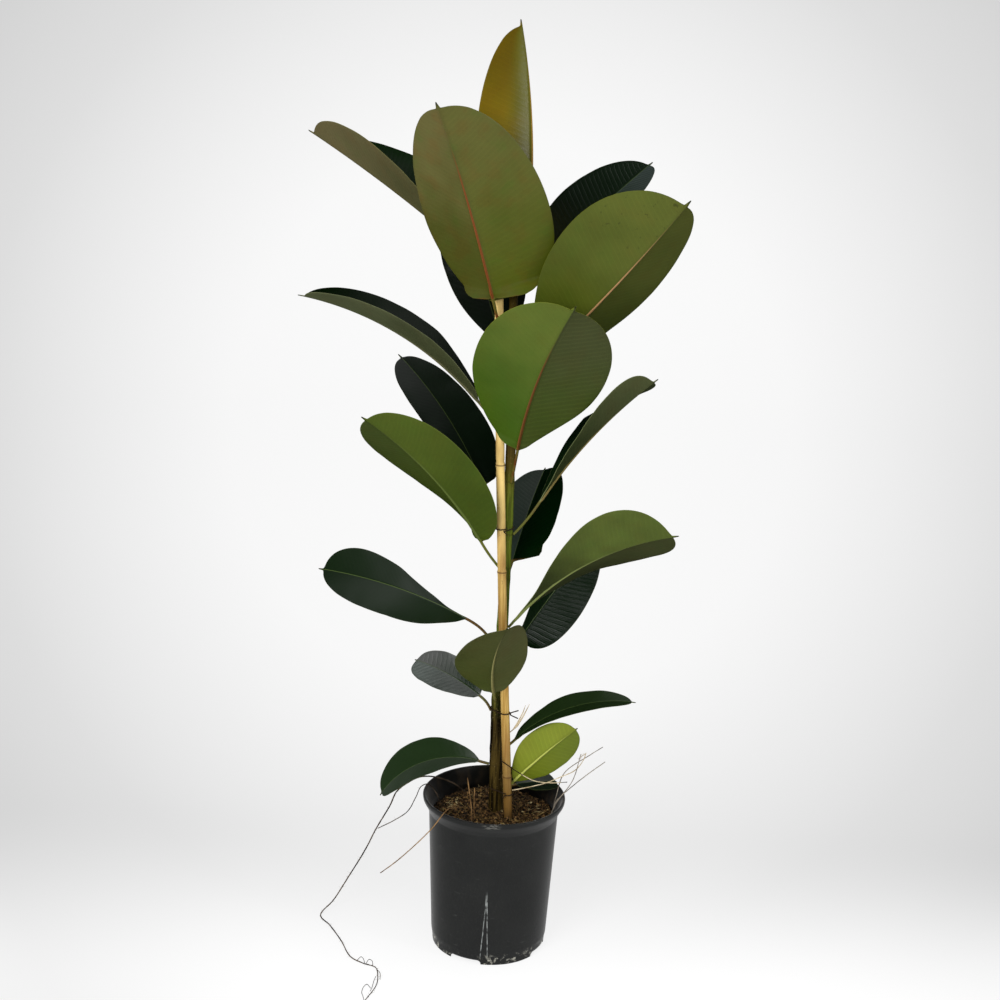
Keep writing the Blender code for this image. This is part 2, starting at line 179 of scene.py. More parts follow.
def new_finish(name, specular=0.5):
    """A material, its shader and the wire of Object coordinates."""
    made = bpy.data.materials.new(name)
    made.use_nodes = True
    shader = made.node_tree.nodes["Principled BSDF"]
    shader.inputs["Specular IOR Level"].default_value = specular
    place = Wire(made.node_tree).add("ShaderNodeTexCoord", output="Object")
    return made, shader, place


def feed(shader, colour, roughness, height=None, relief=0.0):
    """Links colour and roughness to the shader, and a height in 0 to 1 through a bump of this many metres."""
    links = colour.tree.links
    links.new(colour.socket, shader.inputs["Base Color"])
    links.new(roughness.socket, shader.inputs["Roughness"])
    if height:
        normal = height.add("ShaderNodeBump", {}, {"Height": height, "Distance": relief, "Strength": 1.0})
        links.new(normal.socket, shader.inputs["Normal"])


def add_object(name, mesh, material=None):
    made = bpy.data.objects.new(name, mesh)
    bpy.context.scene.collection.objects.link(made)
    if material:
        mesh.materials.append(material)
    return made


def shade_smooth(mesh):
    mesh.polygons.foreach_set("use_smooth", [True] * len(mesh.polygons))


def softened(profile, corner, steps=4):
    """A profile with each inner corner replaced by a small curve."""
    points = [np.array(point, float) for point in profile]
    line = [points[0]]
    for before, here, after in zip(points, points[1:], points[2:]):
        back, ahead = before - here, after - here
        start = here + back * min(corner / np.linalg.norm(back), 0.45)
        end = here + ahead * min(corner / np.linalg.norm(ahead), 0.45)
        for t in np.linspace(0, 1, steps):
            line.append((1 - t) ** 2 * start + 2 * t * (1 - t) * here + t * t * end)
    return [*line, points[-1]]


def lathe(name, profile, azimuths):
    """A closed mesh turned about Z through the azimuths, from a profile that starts and ends on the axis."""
    count = len(azimuths)
    turns = np.radians(azimuths)
    rows = profile[1:-1]
    points = [(0, 0, profile[0][1])]
    for radius, height in rows:
        points += [(radius * math.cos(turn), radius * math.sin(turn), height) for turn in turns]
    points.append((0, 0, profile[-1][1]))
    last = len(points) - 1
    faces = []
    for j in range(count):
        k = (j + 1) % count
        faces.append((0, 1 + j, 1 + k))
        faces.append((1 + (len(rows) - 1) * count + j, last, 1 + (len(rows) - 1) * count + k))
        for i in range(len(rows) - 1):
            row, following = 1 + i * count, 1 + (i + 1) * count
            faces.append((row + j, following + j, following + k, row + k))
    mesh = bpy.data.meshes.new(name)
    mesh.from_pydata(points, [], faces)
    return mesh


def polar(radius, azimuth, height):
    angle = math.radians(azimuth)
    return Vector((radius * math.cos(angle), radius * math.sin(angle), height))


def evaluated_copy(name, holder):
    """The holder's mesh with its modifiers applied, in a new object, and the holder taken away."""
    graph = bpy.context.evaluated_depsgraph_get()
    mesh = bpy.data.meshes.new_from_object(
        holder.evaluated_get(graph), preserve_all_data_layers=True, depsgraph=graph
    )
    bpy.data.objects.remove(holder)
    mesh.name = name
    return add_object(name, mesh)


def stand_for(piece, slot, *nodes):
    """The piece rides on the plant and stands for these CAD nodes; the slot is not used."""
    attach(piece, "root")
    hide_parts(*nodes)


outline = softened(POT_PROFILE, POT_CORNER)
rows = [outline[0]]
for start, end in zip(outline, outline[1:]):
    in_wall = start[0] > PINCH_WALL_RADIUS < end[0]
    parts = max(1, round(np.linalg.norm(end - start) / POT_ROW)) if in_wall else 1
    rows += [start + (end - start) * k / parts for k in range(1, parts + 1)]
plain_turns = np.arange(FINE_TURNS[1], FINE_TURNS[0] + 360, POT_COLUMN_DEGREES)
pot_mesh = lathe("pot", rows, np.concatenate([np.arange(*FINE_TURNS), plain_turns]))
for vertex in pot_mesh.vertices:
    x, y, z = vertex.co
    if PINCH_FOOT < z < PINCH_TOP and math.hypot(x, y) > PINCH_WALL_RADIUS:
        down = (PINCH_TOP - z) / (PINCH_TOP - PINCH_FOOT)
        azimuth = math.degrees(math.atan2(y, x))
        left, right = (PINCH_APEX + lean * down for lean in PINCH_LEANS)
        if left < azimuth < right:
            across = (azimuth - left) / (right - left)
            sunk = PINCH_DEPTH * math.sin(math.pi * across) * min(4 * down, 1)
            vertex.co = (x * (1 - sunk / PINCH_WALL_RADIUS), y * (1 - sunk / PINCH_WALL_RADIUS), z)
shade_smooth(pot_mesh)
pot_holder = add_object("pot_holder", pot_mesh)
block = bmesh.new()
bmesh.ops.create_cube(block, size=1)
bmesh.ops.scale(block, vec=NOTCH_SIZE, verts=block.verts)
rounded = [edge for edge in block.edges if abs(edge.verts[0].co.x - edge.verts[1].co.x) > NOTCH_SIZE[0] / 2]
bmesh.ops.bevel(block, geom=rounded, offset=NOTCH_CORNER, segments=6, affect="EDGES", profile=0.5)
bmesh.ops.translate(block, vec=(NOTCH_DISTANCE, 0, 0), verts=block.verts)
block_mesh = bpy.data.meshes.new("notch_block")
block.to_mesh(block_mesh)
block.free()
cutters = bmesh.new()
for azimuth in NOTCH_AZIMUTHS:
    turned = block_mesh.copy()
    turned.transform(Matrix.Rotation(math.radians(azimuth), 4, "Z"))
    cutters.from_mesh(turned)
for azimuth in DRAIN_AZIMUTHS:
    bmesh.ops.create_cone(
        cutters, cap_ends=True, segments=24, radius1=DRAIN_RADIUS, radius2=DRAIN_RADIUS, depth=0.03,
        matrix=Matrix.Translation(polar(DRAIN_DISTANCE, azimuth, 0)))
cutter_mesh = bpy.data.meshes.new("pot_cutters")
cutters.to_mesh(cutter_mesh)
cutters.free()
cutter = add_object("pot_cutters", cutter_mesh)
opening = pot_holder.modifiers.new("Openings", "BOOLEAN")
opening.operation = "DIFFERENCE"
opening.solver = "EXACT"
opening.object = cutter
pot = evaluated_copy("pot_shell", pot_holder)
bpy.data.objects.remove(cutter)

pot_finish, shader, place = new_finish("black_pot_plastic", 0.4)
shader.inputs["Sheen Weight"].default_value = 0.45
shader.inputs["Sheen Roughness"].default_value = 0.35
x, y, height = place.axes()
azimuth = place.maths("ARCTAN2", y, x) * (180 / math.pi)
straight_down = (PINCH_TOP - height) / (PINCH_TOP - PINCH_FOOT)
wobble = (patches(place, 60, 1) - 0.5) * 0.8
# Painted highlights along the pinch's two creases, brightest near its apex.
left_line = abs(azimuth - PINCH_APEX - straight_down * PINCH_LEANS[0] + wobble)
right_line = abs(azimuth - PINCH_APEX - straight_down * PINCH_LEANS[1] - wobble)
in_pinch = between(height, PINCH_FOOT - 0.004, PINCH_FOOT + 0.004)
in_pinch = in_pinch * between(height, PINCH_TOP + 0.006, PINCH_TOP - 0.012)
pale = between(left_line, 0.75, 0.1) + between(right_line, 0.75, 0.1)
apex = between(height, 0.075, 0.095) * between(abs(azimuth + 92.6), 1.5, 0.3)
crease_highlight = in_pinch * between(pale + apex, 0, 1.3) * between(patches(place, 130, 2), 0.25, 0.6)
scuffs = between(patches(place, 55, 4, (1, 1, 6)), 0.62, 0.74) * between(patches(place, 25, 2), 0.45, 0.6)
lip = between(height, 0.2035, 0.207) * between(abs(azimuth + 91), 9, 3) * between(
    patches(place, 240, 3, (1, 1, 5)), 0.48, 0.62)
foot = between(height, 0.019, 0.006)
lime = foot * between(patches(place, 150, 4), 0.53, 0.66) * between(patches(place, 28, 1), 0.38, 0.52)
cloud = patches(place, 18, 4)
black = mixed(cloud, paint(30, 31, 31), paint(41, 42, 41))
above_bend = height.maths("MAXIMUM", height - WALL_FLARE_HEIGHT, 0)
past_middle = (x * x + y * y) ** 0.5 - (WALL_MIDDLE + height * WALL_LEAN + above_bend * WALL_FLARE)
# The inner wall above the soil: painted near-black shade, with brown soil stains in patches.
inside = between(past_middle, 0.0004, -0.0004) * between(height, 0.17, 0.18)
soil_stain_and_shade = mixed(between(patches(place, 60, 4, (1, 1, 0.4)), 0.5, 0.7), paint(8, 8, 7), paint(44, 34, 22))
black = mixed(between(patches(place, 900, 2), 0.60, 0.72) * 0.25, black, paint(80, 80, 76))
black = mixed(scuffs * 0.3, black, paint(88, 90, 88))
black = mixed(crease_highlight * 0.75, black, paint(168, 172, 170))
black = mixed(lip * 0.4, black, paint(150, 148, 140))
black = mixed(lime * 0.85, black, paint(176, 174, 160))
black = mixed(inside, black, soil_stain_and_shade)
rough = 0.36 + cloud * 0.16 + scuffs * 0.1 + lime * 0.3 + crease_highlight * 0.1
feed(shader, black, rough, patches(place, 700, 3) + crease_highlight * 0.6 + lime, 0.00012)
pot.data.materials.append(pot_finish)
stand_for(pot, "pot", "pot")

# Soil: moist dark peat with coconut fibre, pressed round the root ball, its top crumbly and littered with
# orange-brown fibres, crumbs, a few pale bits and a little moss. It is poured in and only lies in the pot.
SOIL_PROFILE = (
    (0, 0.1885), (0.016, 0.1885), (0.034, 0.1868), (0.052, 0.188), (0.07, 0.1862), (0.08, 0.1835),
    (0.0838, 0.1815),
)
SOIL_FOOT = ((0.0836, 0.178), (0.0753, 0.0163), (0.0734, 0.01), (0.0632, 0.009), (0.0596, 0.0026), (0, 0.0026))
SOIL_RINGS = 54
SOIL_TURNS = 150
SOIL_RELIEF = 0.0042
SOIL_DROP = 0.001
STEM_MOUND = (0.003, 0.0, 0.004, 0.016)
BACK_HEAP = (-0.014, 0.040, 0.009, 0.026)


def new_tree(name, numbers, others):
    """A Geometry Nodes tree, and wires for its geometry, named numbers, inputs of other kinds and material."""
    tree = bpy.data.node_groups.new(name, "GeometryNodeTree")
    kinds = {"Geometry": "Geometry", **dict.fromkeys(numbers, "Float"), **others, "Material": "Material"}
    for label, kind in kinds.items():
        tree.interface.new_socket(label, in_out="INPUT", socket_type="NodeSocket" + kind)
    tree.interface.new_socket("Geometry", in_out="OUTPUT", socket_type="NodeSocketGeometry")
    entry = tree.nodes.new("NodeGroupInput")
    return tree, {socket.name: Wire(tree, socket) for socket in entry.outputs if socket.name}


def close_tree(geometry, material):
    """Makes instances real, sets the material and sends the geometry out."""
    real = geometry.add("GeometryNodeRealizeInstances", {}, {0: geometry})
    dressed = real.add("GeometryNodeSetMaterial", {}, {0: real, "Material": material})
    end = geometry.tree.nodes.new("NodeGroupOutput")
    geometry.tree.links.new(dressed.socket, end.inputs[0])


def grown(name, start, tree, sizes):
    """The plain mesh object that a tree makes from a starting mesh with these sizes for its named inputs."""
    holder = add_object(name + "_start", start)
    build = holder.modifiers.new("Build", "NODES")
    build.node_group = tree
    for item in tree.interface.items_tree:
        if item.in_out == "INPUT" and item.name in sizes:
            build[item.identifier] = sizes[item.name]
    return evaluated_copy(name, holder)


def attribute_of(wire, name, kind="FLOAT"):
    return wire.add("GeometryNodeInputNamedAttribute", {"data_type": kind}, {"Name": name})


def random_of(wire, low, high, seed):
    return wire.add("FunctionNodeRandomValue", {}, {2: low, 3: high, "Seed": seed}, 1)


def swell(distance, reach):
    """1 at no distance, falling away smoothly over this reach."""
    return math.exp(-((distance / reach) ** 2))


def soil_height(x, y, radius):
    """Height of the soil's top: the profile, lumps, a mound at the stem and a heap behind it."""
    level = np.interp(radius, [ring for ring, _ in SOIL_PROFILE], [height for _, height in SOIL_PROFILE])
    lumps = noise.fractal(Vector((x, y, 0.3)) * 60, 0.8, 2.1, 3) * 0.5 + noise.fractal(
        Vector((x, y, 0.7)) * 230, 0.7, 2.0, 3) * 0.25
    heaps = sum(high * swell(math.hypot(x - across, y - deep), reach)
                for across, deep, high, reach in (STEM_MOUND, BACK_HEAP))
    return level + SOIL_RELIEF * lumps + heaps - SOIL_DROP


top_points = []
for ring in np.linspace(0, SOIL_PROFILE[-1][0], SOIL_RINGS + 1)[1:]:
    for turn in np.linspace(0, math.tau, SOIL_TURNS, endpoint=False):
        x, y = ring * math.cos(turn), ring * math.sin(turn)
        top_points.append((x, y, soil_height(x, y, ring)))
soil_mesh = lathe(
    "soil",
    [(0, soil_height(0, 0, 0))] + [(1, 0)] * SOIL_RINGS + list(SOIL_FOOT),
    np.linspace(0, 360, SOIL_TURNS, endpoint=False),
)
for vertex, point in zip(list(soil_mesh.vertices)[1:], top_points):
    vertex.co = point
shade_smooth(soil_mesh)

peat_finish, shader, place = new_finish("moist_peat", 0.3)
grain = patches(place, 260, 5)
fleck = patches(place, 520, 2)
brown = place.add("ShaderNodeValToRGB", {"stops": (
    (0.30, paint(8, 6, 3)), (0.43, paint(34, 24, 13)), (0.54, paint(78, 57, 33)), (0.68, paint(142, 108, 64)))},
    {0: grain})
brown = mixed(between(fleck, 0.68, 0.76) * 0.7, brown, paint(150, 128, 92))
feed(shader, brown, 0.9 - grain * 0.2, grain + fleck * 0.5, 0.0012)

fibre_finish, shader, place = new_finish("dry_fibre", 0.3)
tone = patches(place, 45, 2)
fibre = place.add("ShaderNodeValToRGB", {"stops": (
    (0.30, paint(50, 36, 18)), (0.45, paint(100, 78, 42)), (0.58, paint(152, 128, 78)),
    (0.70, paint(202, 184, 136)))}, {0: tone})
feed(shader, fibre, 0.75 + patches(place, 300, 2) * 0.2)

moss_finish, shader, place = new_finish("moss", 0.3)
moss = mixed(between(patches(place, 300, 3), 0.35, 0.65), paint(46, 46, 12), paint(124, 122, 44))
feed(shader, moss, 0.8 + patches(place, 200, 1) * 0.15)


def placed(points, shape, turn, scale):
    """The shape at each point, with this turn and this scale."""
    return points.add("GeometryNodeInstanceOnPoints", {}, {
        "Points": points, "Instance": shape, "Scale": scale,
        "Rotation": turn.add("FunctionNodeEulerToRotation", {}, {0: turn})})


def litter_tree():
    """Small lumps strewn over the flat top of a surface, inside a ring, each turned at random."""
    tree, size = new_tree("Soil litter", (
        "Density", "Least", "Most", "Long", "Lift", "Front", "Reach"), {"Seed": "Int"})
    start = size["Geometry"]
    normal = start.add("GeometryNodeInputNormal")
    spot = start.add("GeometryNodeInputPosition")
    up = normal.axes()[2]
    x, y, z = spot.axes()
    reach = (x * x + y * y) ** 0.5
    chosen = (up > 0.3) * (z > 0.17) * (y < size["Front"]) * (reach < size["Reach"])
    points = start.add("GeometryNodeDistributePointsOnFaces", {"distribute_method": "RANDOM"}, {
        "Mesh": start, "Selection": chosen, "Density": size["Density"], "Seed": size["Seed"]})
    lump = start.add("GeometryNodeMeshIcoSphere", {}, {"Radius": 1.0, "Subdivisions": 1})
    thick = random_of(start, size["Least"], size["Most"], 5)
    stretch = thick * size["Long"]
    scale = start.vector(stretch * random_of(start, 0.5, 1.6, 6), thick, thick * random_of(start, 0.5, 1.0, 7))
    turn = start.vector(
        random_of(start, -0.5, 0.5, 8), random_of(start, -0.45, 0.45, 9), random_of(start, 0, math.tau, 10))
    strewn = placed(points, lump, turn, scale)
    raised = strewn.add("GeometryNodeSetPosition", {}, {
        "Geometry": strewn, "Offset": start.vector(0, 0, size["Lift"])})
    close_tree(raised, size["Material"])
    return tree


litter = litter_tree()
soil_parts = [add_object("soil_plug", soil_mesh, peat_finish)]
for name, finish, density, least, most, long, front, reach, seed in (
    ("crumbs", peat_finish, 52000, 0.0006, 0.0021, 1.2, 1.0, 0.081, 11),
    ("clods", peat_finish, 5000, 0.0018, 0.0038, 1.1, 1.0, 0.078, 17),
    ("bark_bits", fibre_finish, 7000, 0.0005, 0.0015, 1.9, 1.0, 0.079, 23),
    ("fibres", fibre_finish, 22000, 0.00016, 0.00038, 24.0, 1.0, 0.071, 37),
    ("long_fibres", fibre_finish, 7000, 0.00018, 0.00040, 36.0, 1.0, 0.062, 41),
    ("moss_tufts", moss_finish, 42000, 0.0004, 0.0012, 1.4, -0.055, 0.080, 53),
):
    sizes = {"Density": density, "Least": least, "Most": most, "Long": long, "Lift": 0.0004 + least,
             "Front": front, "Reach": reach, "Seed": seed, "Material": finish}
    soil_parts.append(grown(name, soil_mesh.copy(), litter, sizes))


def joined(name, parts):
    """Several objects as one mesh object with all their materials."""
    for part in bpy.context.selected_objects:
        part.select_set(False)
    for part in parts:
        part.select_set(True)
    bpy.context.view_layer.objects.active = parts[0]
    bpy.ops.object.join()
    parts[0].name = name
    return parts[0]


soil = joined("soil_top", soil_parts)
stand_for(soil, "soil", "soil")

# Stem: one upright woody stem, brown and ribbed low down where it has barked over, greener above, with a ring
# scar where each leaf stands and a point of rolled leaves at the top. It is rooted in the soil.
STEM = (
    (0.003, 0, 0.106, 0.0088), (0.003, 0, 0.186, 0.0094), (0.002, 0, 0.215, 0.0089), (0, 0, 0.275, 0.0084),
    (-0.001, 0, 0.346, 0.0079), (0.001, 0, 0.460, 0.0072), (0.002, 0, 0.593, 0.0065), (0.001, 0, 0.750, 0.0060),
    (-0.003, 0, 0.860, 0.0054), (-0.005, 0, 0.945, 0.0048), (-0.005, 0, 0.958, 0.0050),
    (-0.0045, 0.001, 0.972, 0.0036), (-0.004, 0.002, 0.992, 0.0007),
)
LEAF_HEIGHTS = (0.222, 0.256, 0.279, 0.325, 0.348, 0.405, 0.418, 0.450, 0.515, 0.530, 0.575, 0.645, 0.700,
                0.775, 0.785, 0.813, 0.885, 0.888, 0.945)
STEM_KNOT = 0.004
SCAR_SWELL = 0.0004
SCAR_SWELL_MOST = 0.0008
SCAR_REACH = 0.006
FOOT_FLARE = 0.0012
FOOT_HEIGHT = 0.186
FOOT_FLARE_REACH = 0.012


def guide_line(name, points, step):
    """An edge mesh on a smooth line through points of (x, y, z, radius), with the radius as an attribute."""
    knots = np.array(points, float)
    padded = np.vstack([2 * knots[0] - knots[1], knots, 2 * knots[-1] - knots[-2]])
    line = []
    for a, b, c, d in zip(padded, padded[1:], padded[2:], padded[3:]):
        spans = [max(float(np.linalg.norm((q - p)[:3])) ** 0.5, 1e-4) for p, q in ((a, b), (b, c), (c, d))]
        out = (b - a) / spans[0] - (c - a) / (spans[0] + spans[1]) + (c - b) / spans[1]
        into = (c - b) / spans[1] - (d - b) / (spans[1] + spans[2]) + (d - c) / spans[2]
        out, into = out * spans[1], into * spans[1]
        parts = max(1, round(float(np.linalg.norm((c - b)[:3])) / step))
        for t in np.arange(parts) / parts:
            line.append((2 * t**3 - 3 * t**2 + 1) * b + (t**3 - 2 * t**2 + t) * out
                        + (3 * t**2 - 2 * t**3) * c + (t**3 - t**2) * into)
    line.append(knots[-1])
    mesh = bpy.data.meshes.new(name)
    mesh.from_pydata([point[:3] for point in line], [(k, k + 1) for k in range(len(line) - 1)], [])
    thickness = mesh.attributes.new("thickness", "FLOAT", "POINT")
    thickness.data.foreach_set("value", [max(point[3], 0.0002) for point in line])
    return mesh


def rod_tree():
    """A round rod along the starting line, as thick as its attribute says, roughened by noise, ends closed."""
    tree, size = new_tree("Rod", ("Relief", "Fineness"), {"Sides": "Int", "Grain": "Vector"})
    start = size["Geometry"]
    line = start.add("GeometryNodeMeshToCurve", {}, {0: start})
    ring = start.add("GeometryNodeCurvePrimitiveCircle", {}, {"Resolution": size["Sides"], "Radius": 1.0})
    thickness = attribute_of(start, "thickness")
    rod = line.add("GeometryNodeCurveToMesh", {}, {
        "Curve": line, "Profile Curve": ring, "Scale": thickness, "Fill Caps": True})
    spot = rod.add("GeometryNodeInputPosition")
    normal = rod.add("GeometryNodeInputNormal")
    rough = rod.add("ShaderNodeTexNoise", {}, {
        "Vector": spot * size["Grain"], "Scale": size["Fineness"], "Detail": 3.0})
    offset = normal * ((rough - 0.5) * size["Relief"])
    moved = rod.add("GeometryNodeSetPosition", {}, {"Geometry": rod, "Offset": offset})
    smooth = moved.add("GeometryNodeSetShadeSmooth", {}, {0: moved})
    close_tree(smooth, size["Material"])
    return tree


rod = rod_tree()


def rod_piece(name, points, finish, step, sides, relief, fineness, grain=(1, 1, 1)):
    """A rod through points of (x, y, z, radius), grown by the rod tree."""
    sizes = {"Sides": sides, "Relief": relief, "Fineness": fineness, "Grain": grain, "Material": finish}
    return grown(name, guide_line(name + "_line", points, step), rod, sizes)


def rings_at(up, heights, outer, inner):
    """1 on a ring round the piece at any of these heights, 0 past the outer distance from it."""
    rings = between(abs(up - heights[0]), outer, inner)
    for height in heights[1:]:
        rings = rings.maths("MAXIMUM", rings, between(abs(up - height), outer, inner))
    return rings


bark, shader, place = new_finish("green_bark", 0.1)
up = place.axes()[2]
strips = patches(place, 300, 4, (1, 1, 0.05))
mottle = patches(place, 70, 4, (1, 1, 0.6))
low = mixed(between(strips, 0.35, 0.65), paint(16, 10, 4), paint(74, 60, 24))
high = mixed(between(strips, 0.3, 0.7), paint(58, 66, 16), paint(104, 120, 34))
skin = mixed(between(up + (mottle - 0.5) * 0.1, 0.30, 0.43), low, high)
brown = mixed(strips, paint(54, 40, 14), paint(88, 74, 26))
skin = mixed(between(up + (mottle - 0.5) * 0.04, 0.60, 0.68), skin, brown)
scars = rings_at(up + (mottle - 0.5) * 0.003, LEAF_HEIGHTS, 0.0022, 0.0006)
cracks = between(patches(place, 620, 3, (1, 1, 0.03)), 0.56, 0.64) * between(up, 0.40, 0.26)
skin = mixed(cracks * 0.8, skin, paint(16, 10, 5))
skin = mixed(scars * between(mottle, 0.3, 0.6) * 0.4, skin, paint(50, 40, 18))
skin = mixed(between(patches(place, 420, 2), 0.64, 0.72) * 0.5, skin, paint(128, 112, 70))
feed(shader, skin, 0.55 + strips * 0.25, strips - cracks + scars * 0.2, 0.0007)

def on_line(points, height, parts=(0, 1)):
    """X and Y, or other parts, of a line of points at this height."""
    heights = [point[2] for point in points]
    return [float(np.interp(height, heights, [point[k] for point in points])) for k in parts]


knots = []
for height in np.arange(STEM[0][2], STEM[-1][2], STEM_KNOT):
    x, y, radius = on_line(STEM, height, (0, 1, 3))
    scar = min(sum(SCAR_SWELL * swell(height - z, SCAR_REACH) for z in LEAF_HEIGHTS), SCAR_SWELL_MOST)
    flare = FOOT_FLARE * math.exp(-max(height - FOOT_HEIGHT, 0) / FOOT_FLARE_REACH)
    knots.append((x, y, height, radius + scar + flare))
knots.append(STEM[-1])
stem = rod_piece(
    "stem_bark", knots, bark, step=0.0012, sides=32, relief=0.0011, fineness=260, grain=(1, 1, 0.12))
stand_for(stem, "stem", "stem")

# Cane: one tan bamboo cane pushed into the soil to hold the stem up, hollow stalk with a swollen joint every
# span, split and stained where it enters the soil and paler near the top.
CANE = (
    (0.03, -0.019, 0.04), (0.0224, -0.0177, 0.15), (0.0119, -0.0159, 0.302), (0, -0.014, 0.478),
    (-0.0115, -0.0095, 0.68), (-0.0193, -0.0085, 0.838), (-0.0225, -0.008, 0.905),
)
CANE_RADIUS = 0.0057
CANE_JOINTS = (0.104, 0.246, 0.386, 0.5275, 0.668, 0.806)
CANE_KNOT = 0.0025
CANE_SWELL = 0.0007
CANE_SWELL_REACH = 0.0022
CANE_NECK = 0.0004
CANE_NECK_ABOVE = 0.004
CANE_NECK_REACH = 0.002
CANE_TAPER = 0.0002

bamboo, shader, place = new_finish("dry_bamboo", 0.35)
up = place.axes()[2]
streaks = patches(place, 420, 4, (1, 1, 0.02))
cloud = patches(place, 34, 3, (1, 1, 0.35))
tan = mixed(between(streaks, 0.3, 0.7), paint(162, 124, 54), paint(208, 174, 98))
tan = mixed(between(up, 0.45, 0.68) * 0.85, tan, paint(255, 222, 140))
tan = mixed(between(cloud, 0.45, 0.68) * 0.6, tan, paint(140, 96, 44))
tan = mixed(between(up + (cloud - 0.5) * 0.12, 0.34, 0.22) * 0.75, tan, paint(104, 74, 34))
tan = mixed(between(up, 0.206, 0.19) * 0.6, tan, paint(58, 40, 22))
rings = rings_at(up, CANE_JOINTS, 0.0016, 0.0004)
tan = mixed(rings * 0.75, tan, paint(88, 60, 30))
tan = mixed(between(patches(place, 190, 3), 0.66, 0.74) * 0.55, tan, paint(70, 46, 24))
feed(shader, tan, 0.34 + streaks * 0.2 + rings * 0.2, streaks, 0.0002)

knots = []
for height in np.arange(CANE[0][2], CANE[-1][2] + CANE_KNOT / 25, CANE_KNOT):
    joint = sum(CANE_SWELL * swell(height - z, CANE_SWELL_REACH) for z in CANE_JOINTS)
    neck = sum(CANE_NECK * swell(height - z - CANE_NECK_ABOVE, CANE_NECK_REACH) for z in CANE_JOINTS)
    taper = CANE_TAPER * (height - CANE[0][2]) / (CANE[-1][2] - CANE[0][2])
    knots.append((*on_line(CANE, height), height, CANE_RADIUS + joint - neck - taper))
cane = rod_piece(
    "bamboo_cane", knots, bamboo, step=0.0025, sides=28, relief=0.0005, fineness=200, grain=(1, 1, 0.05))
stand_for(cane, "cane", "cane")

# Ties: three turns of dark coated garden wire round stem and cane, twisted shut, the ends left standing off.
TIE_RADIUS = 0.0008
TIE_GAP = 0.0007
TIE_LIFT = 0.0024
TIE_STEPS = 18
TAIL_DROP = 0.3
TAIL_RISE = 0.5
TIES = (("tie_low", 0.2225, -115, 0.006), ("tie_middle", 0.335, -20, 0.011), ("tie_upper", 0.584, -60, 0.007))


def tie_points(height, azimuth, tail):
    """One rising turn round the stem and the cane from this azimuth, with a tail standing off at each end."""
    stem_x, stem_y, stem_radius = on_line(STEM, height, (0, 1, 3))
    cane_x, cane_y = on_line(CANE, height)
    reach = TIE_GAP + TIE_RADIUS
    loop = []
    for k in range(TIE_STEPS + 1):
        angle = math.radians(azimuth) + math.tau * k / TIE_STEPS
        outward = np.array([math.cos(angle), math.sin(angle), 0])
        rounds = [np.array([stem_x, stem_y, height]) + (stem_radius + reach) * outward,
                  np.array([cane_x, cane_y, height]) + (CANE_RADIUS + reach) * outward]
        loop.append(max(rounds, key=outward.dot) + np.array([0, 0, TIE_LIFT * (k / TIE_STEPS - 0.5)]))
    first = loop[0] + np.array([*(tail * outward[:2]), -TAIL_DROP * tail])
    last = loop[-1] + np.array([*(tail * outward[:2]), TAIL_RISE * tail])
    return [(*point, TIE_RADIUS) for point in [first, *loop, last]]


wire_coat, shader, place = new_finish("dark_wire", 0.4)
coat = mixed(patches(place, 120, 3), paint(26, 18, 12), paint(62, 46, 30))
feed(shader, coat, 0.45 + patches(place, 200, 2) * 0.25)
for name, height, azimuth, tail in TIES:
    turns = tie_points(height, azimuth, tail)
    tie = rod_piece(name + "_wire", turns, wire_coat, step=0.0008, sides=10, relief=0.0002, fineness=700)
    stand_for(tie, "tie", name)

# Leaves: 21 thick waxy leaves, dark and glossy above, matt olive below, each blade folded up a little along
# a stout midrib, with fine side veins that run to the edge, and a drip tip. Each grows on its stalk.
BODY_SHARE = 0.965
DRIP_TIP_START = 0.88
DRIP_TIP_END = 1.004
DRIP_TIP_RISE = 0.04
DRIP_TIP_LENGTH = 0.09
DRIP_TIP_WIDTH = 0.075
STALK_HALF_WIDTH = 0.0018
STALK_GAP = 0.0004
PATH_STEPS = 600
VEIN_SPACING = 0.0066
STATIONS_PER_VEIN = 4
STATION_LENGTH = VEIN_SPACING / STATIONS_PER_VEIN
AROUND = 80
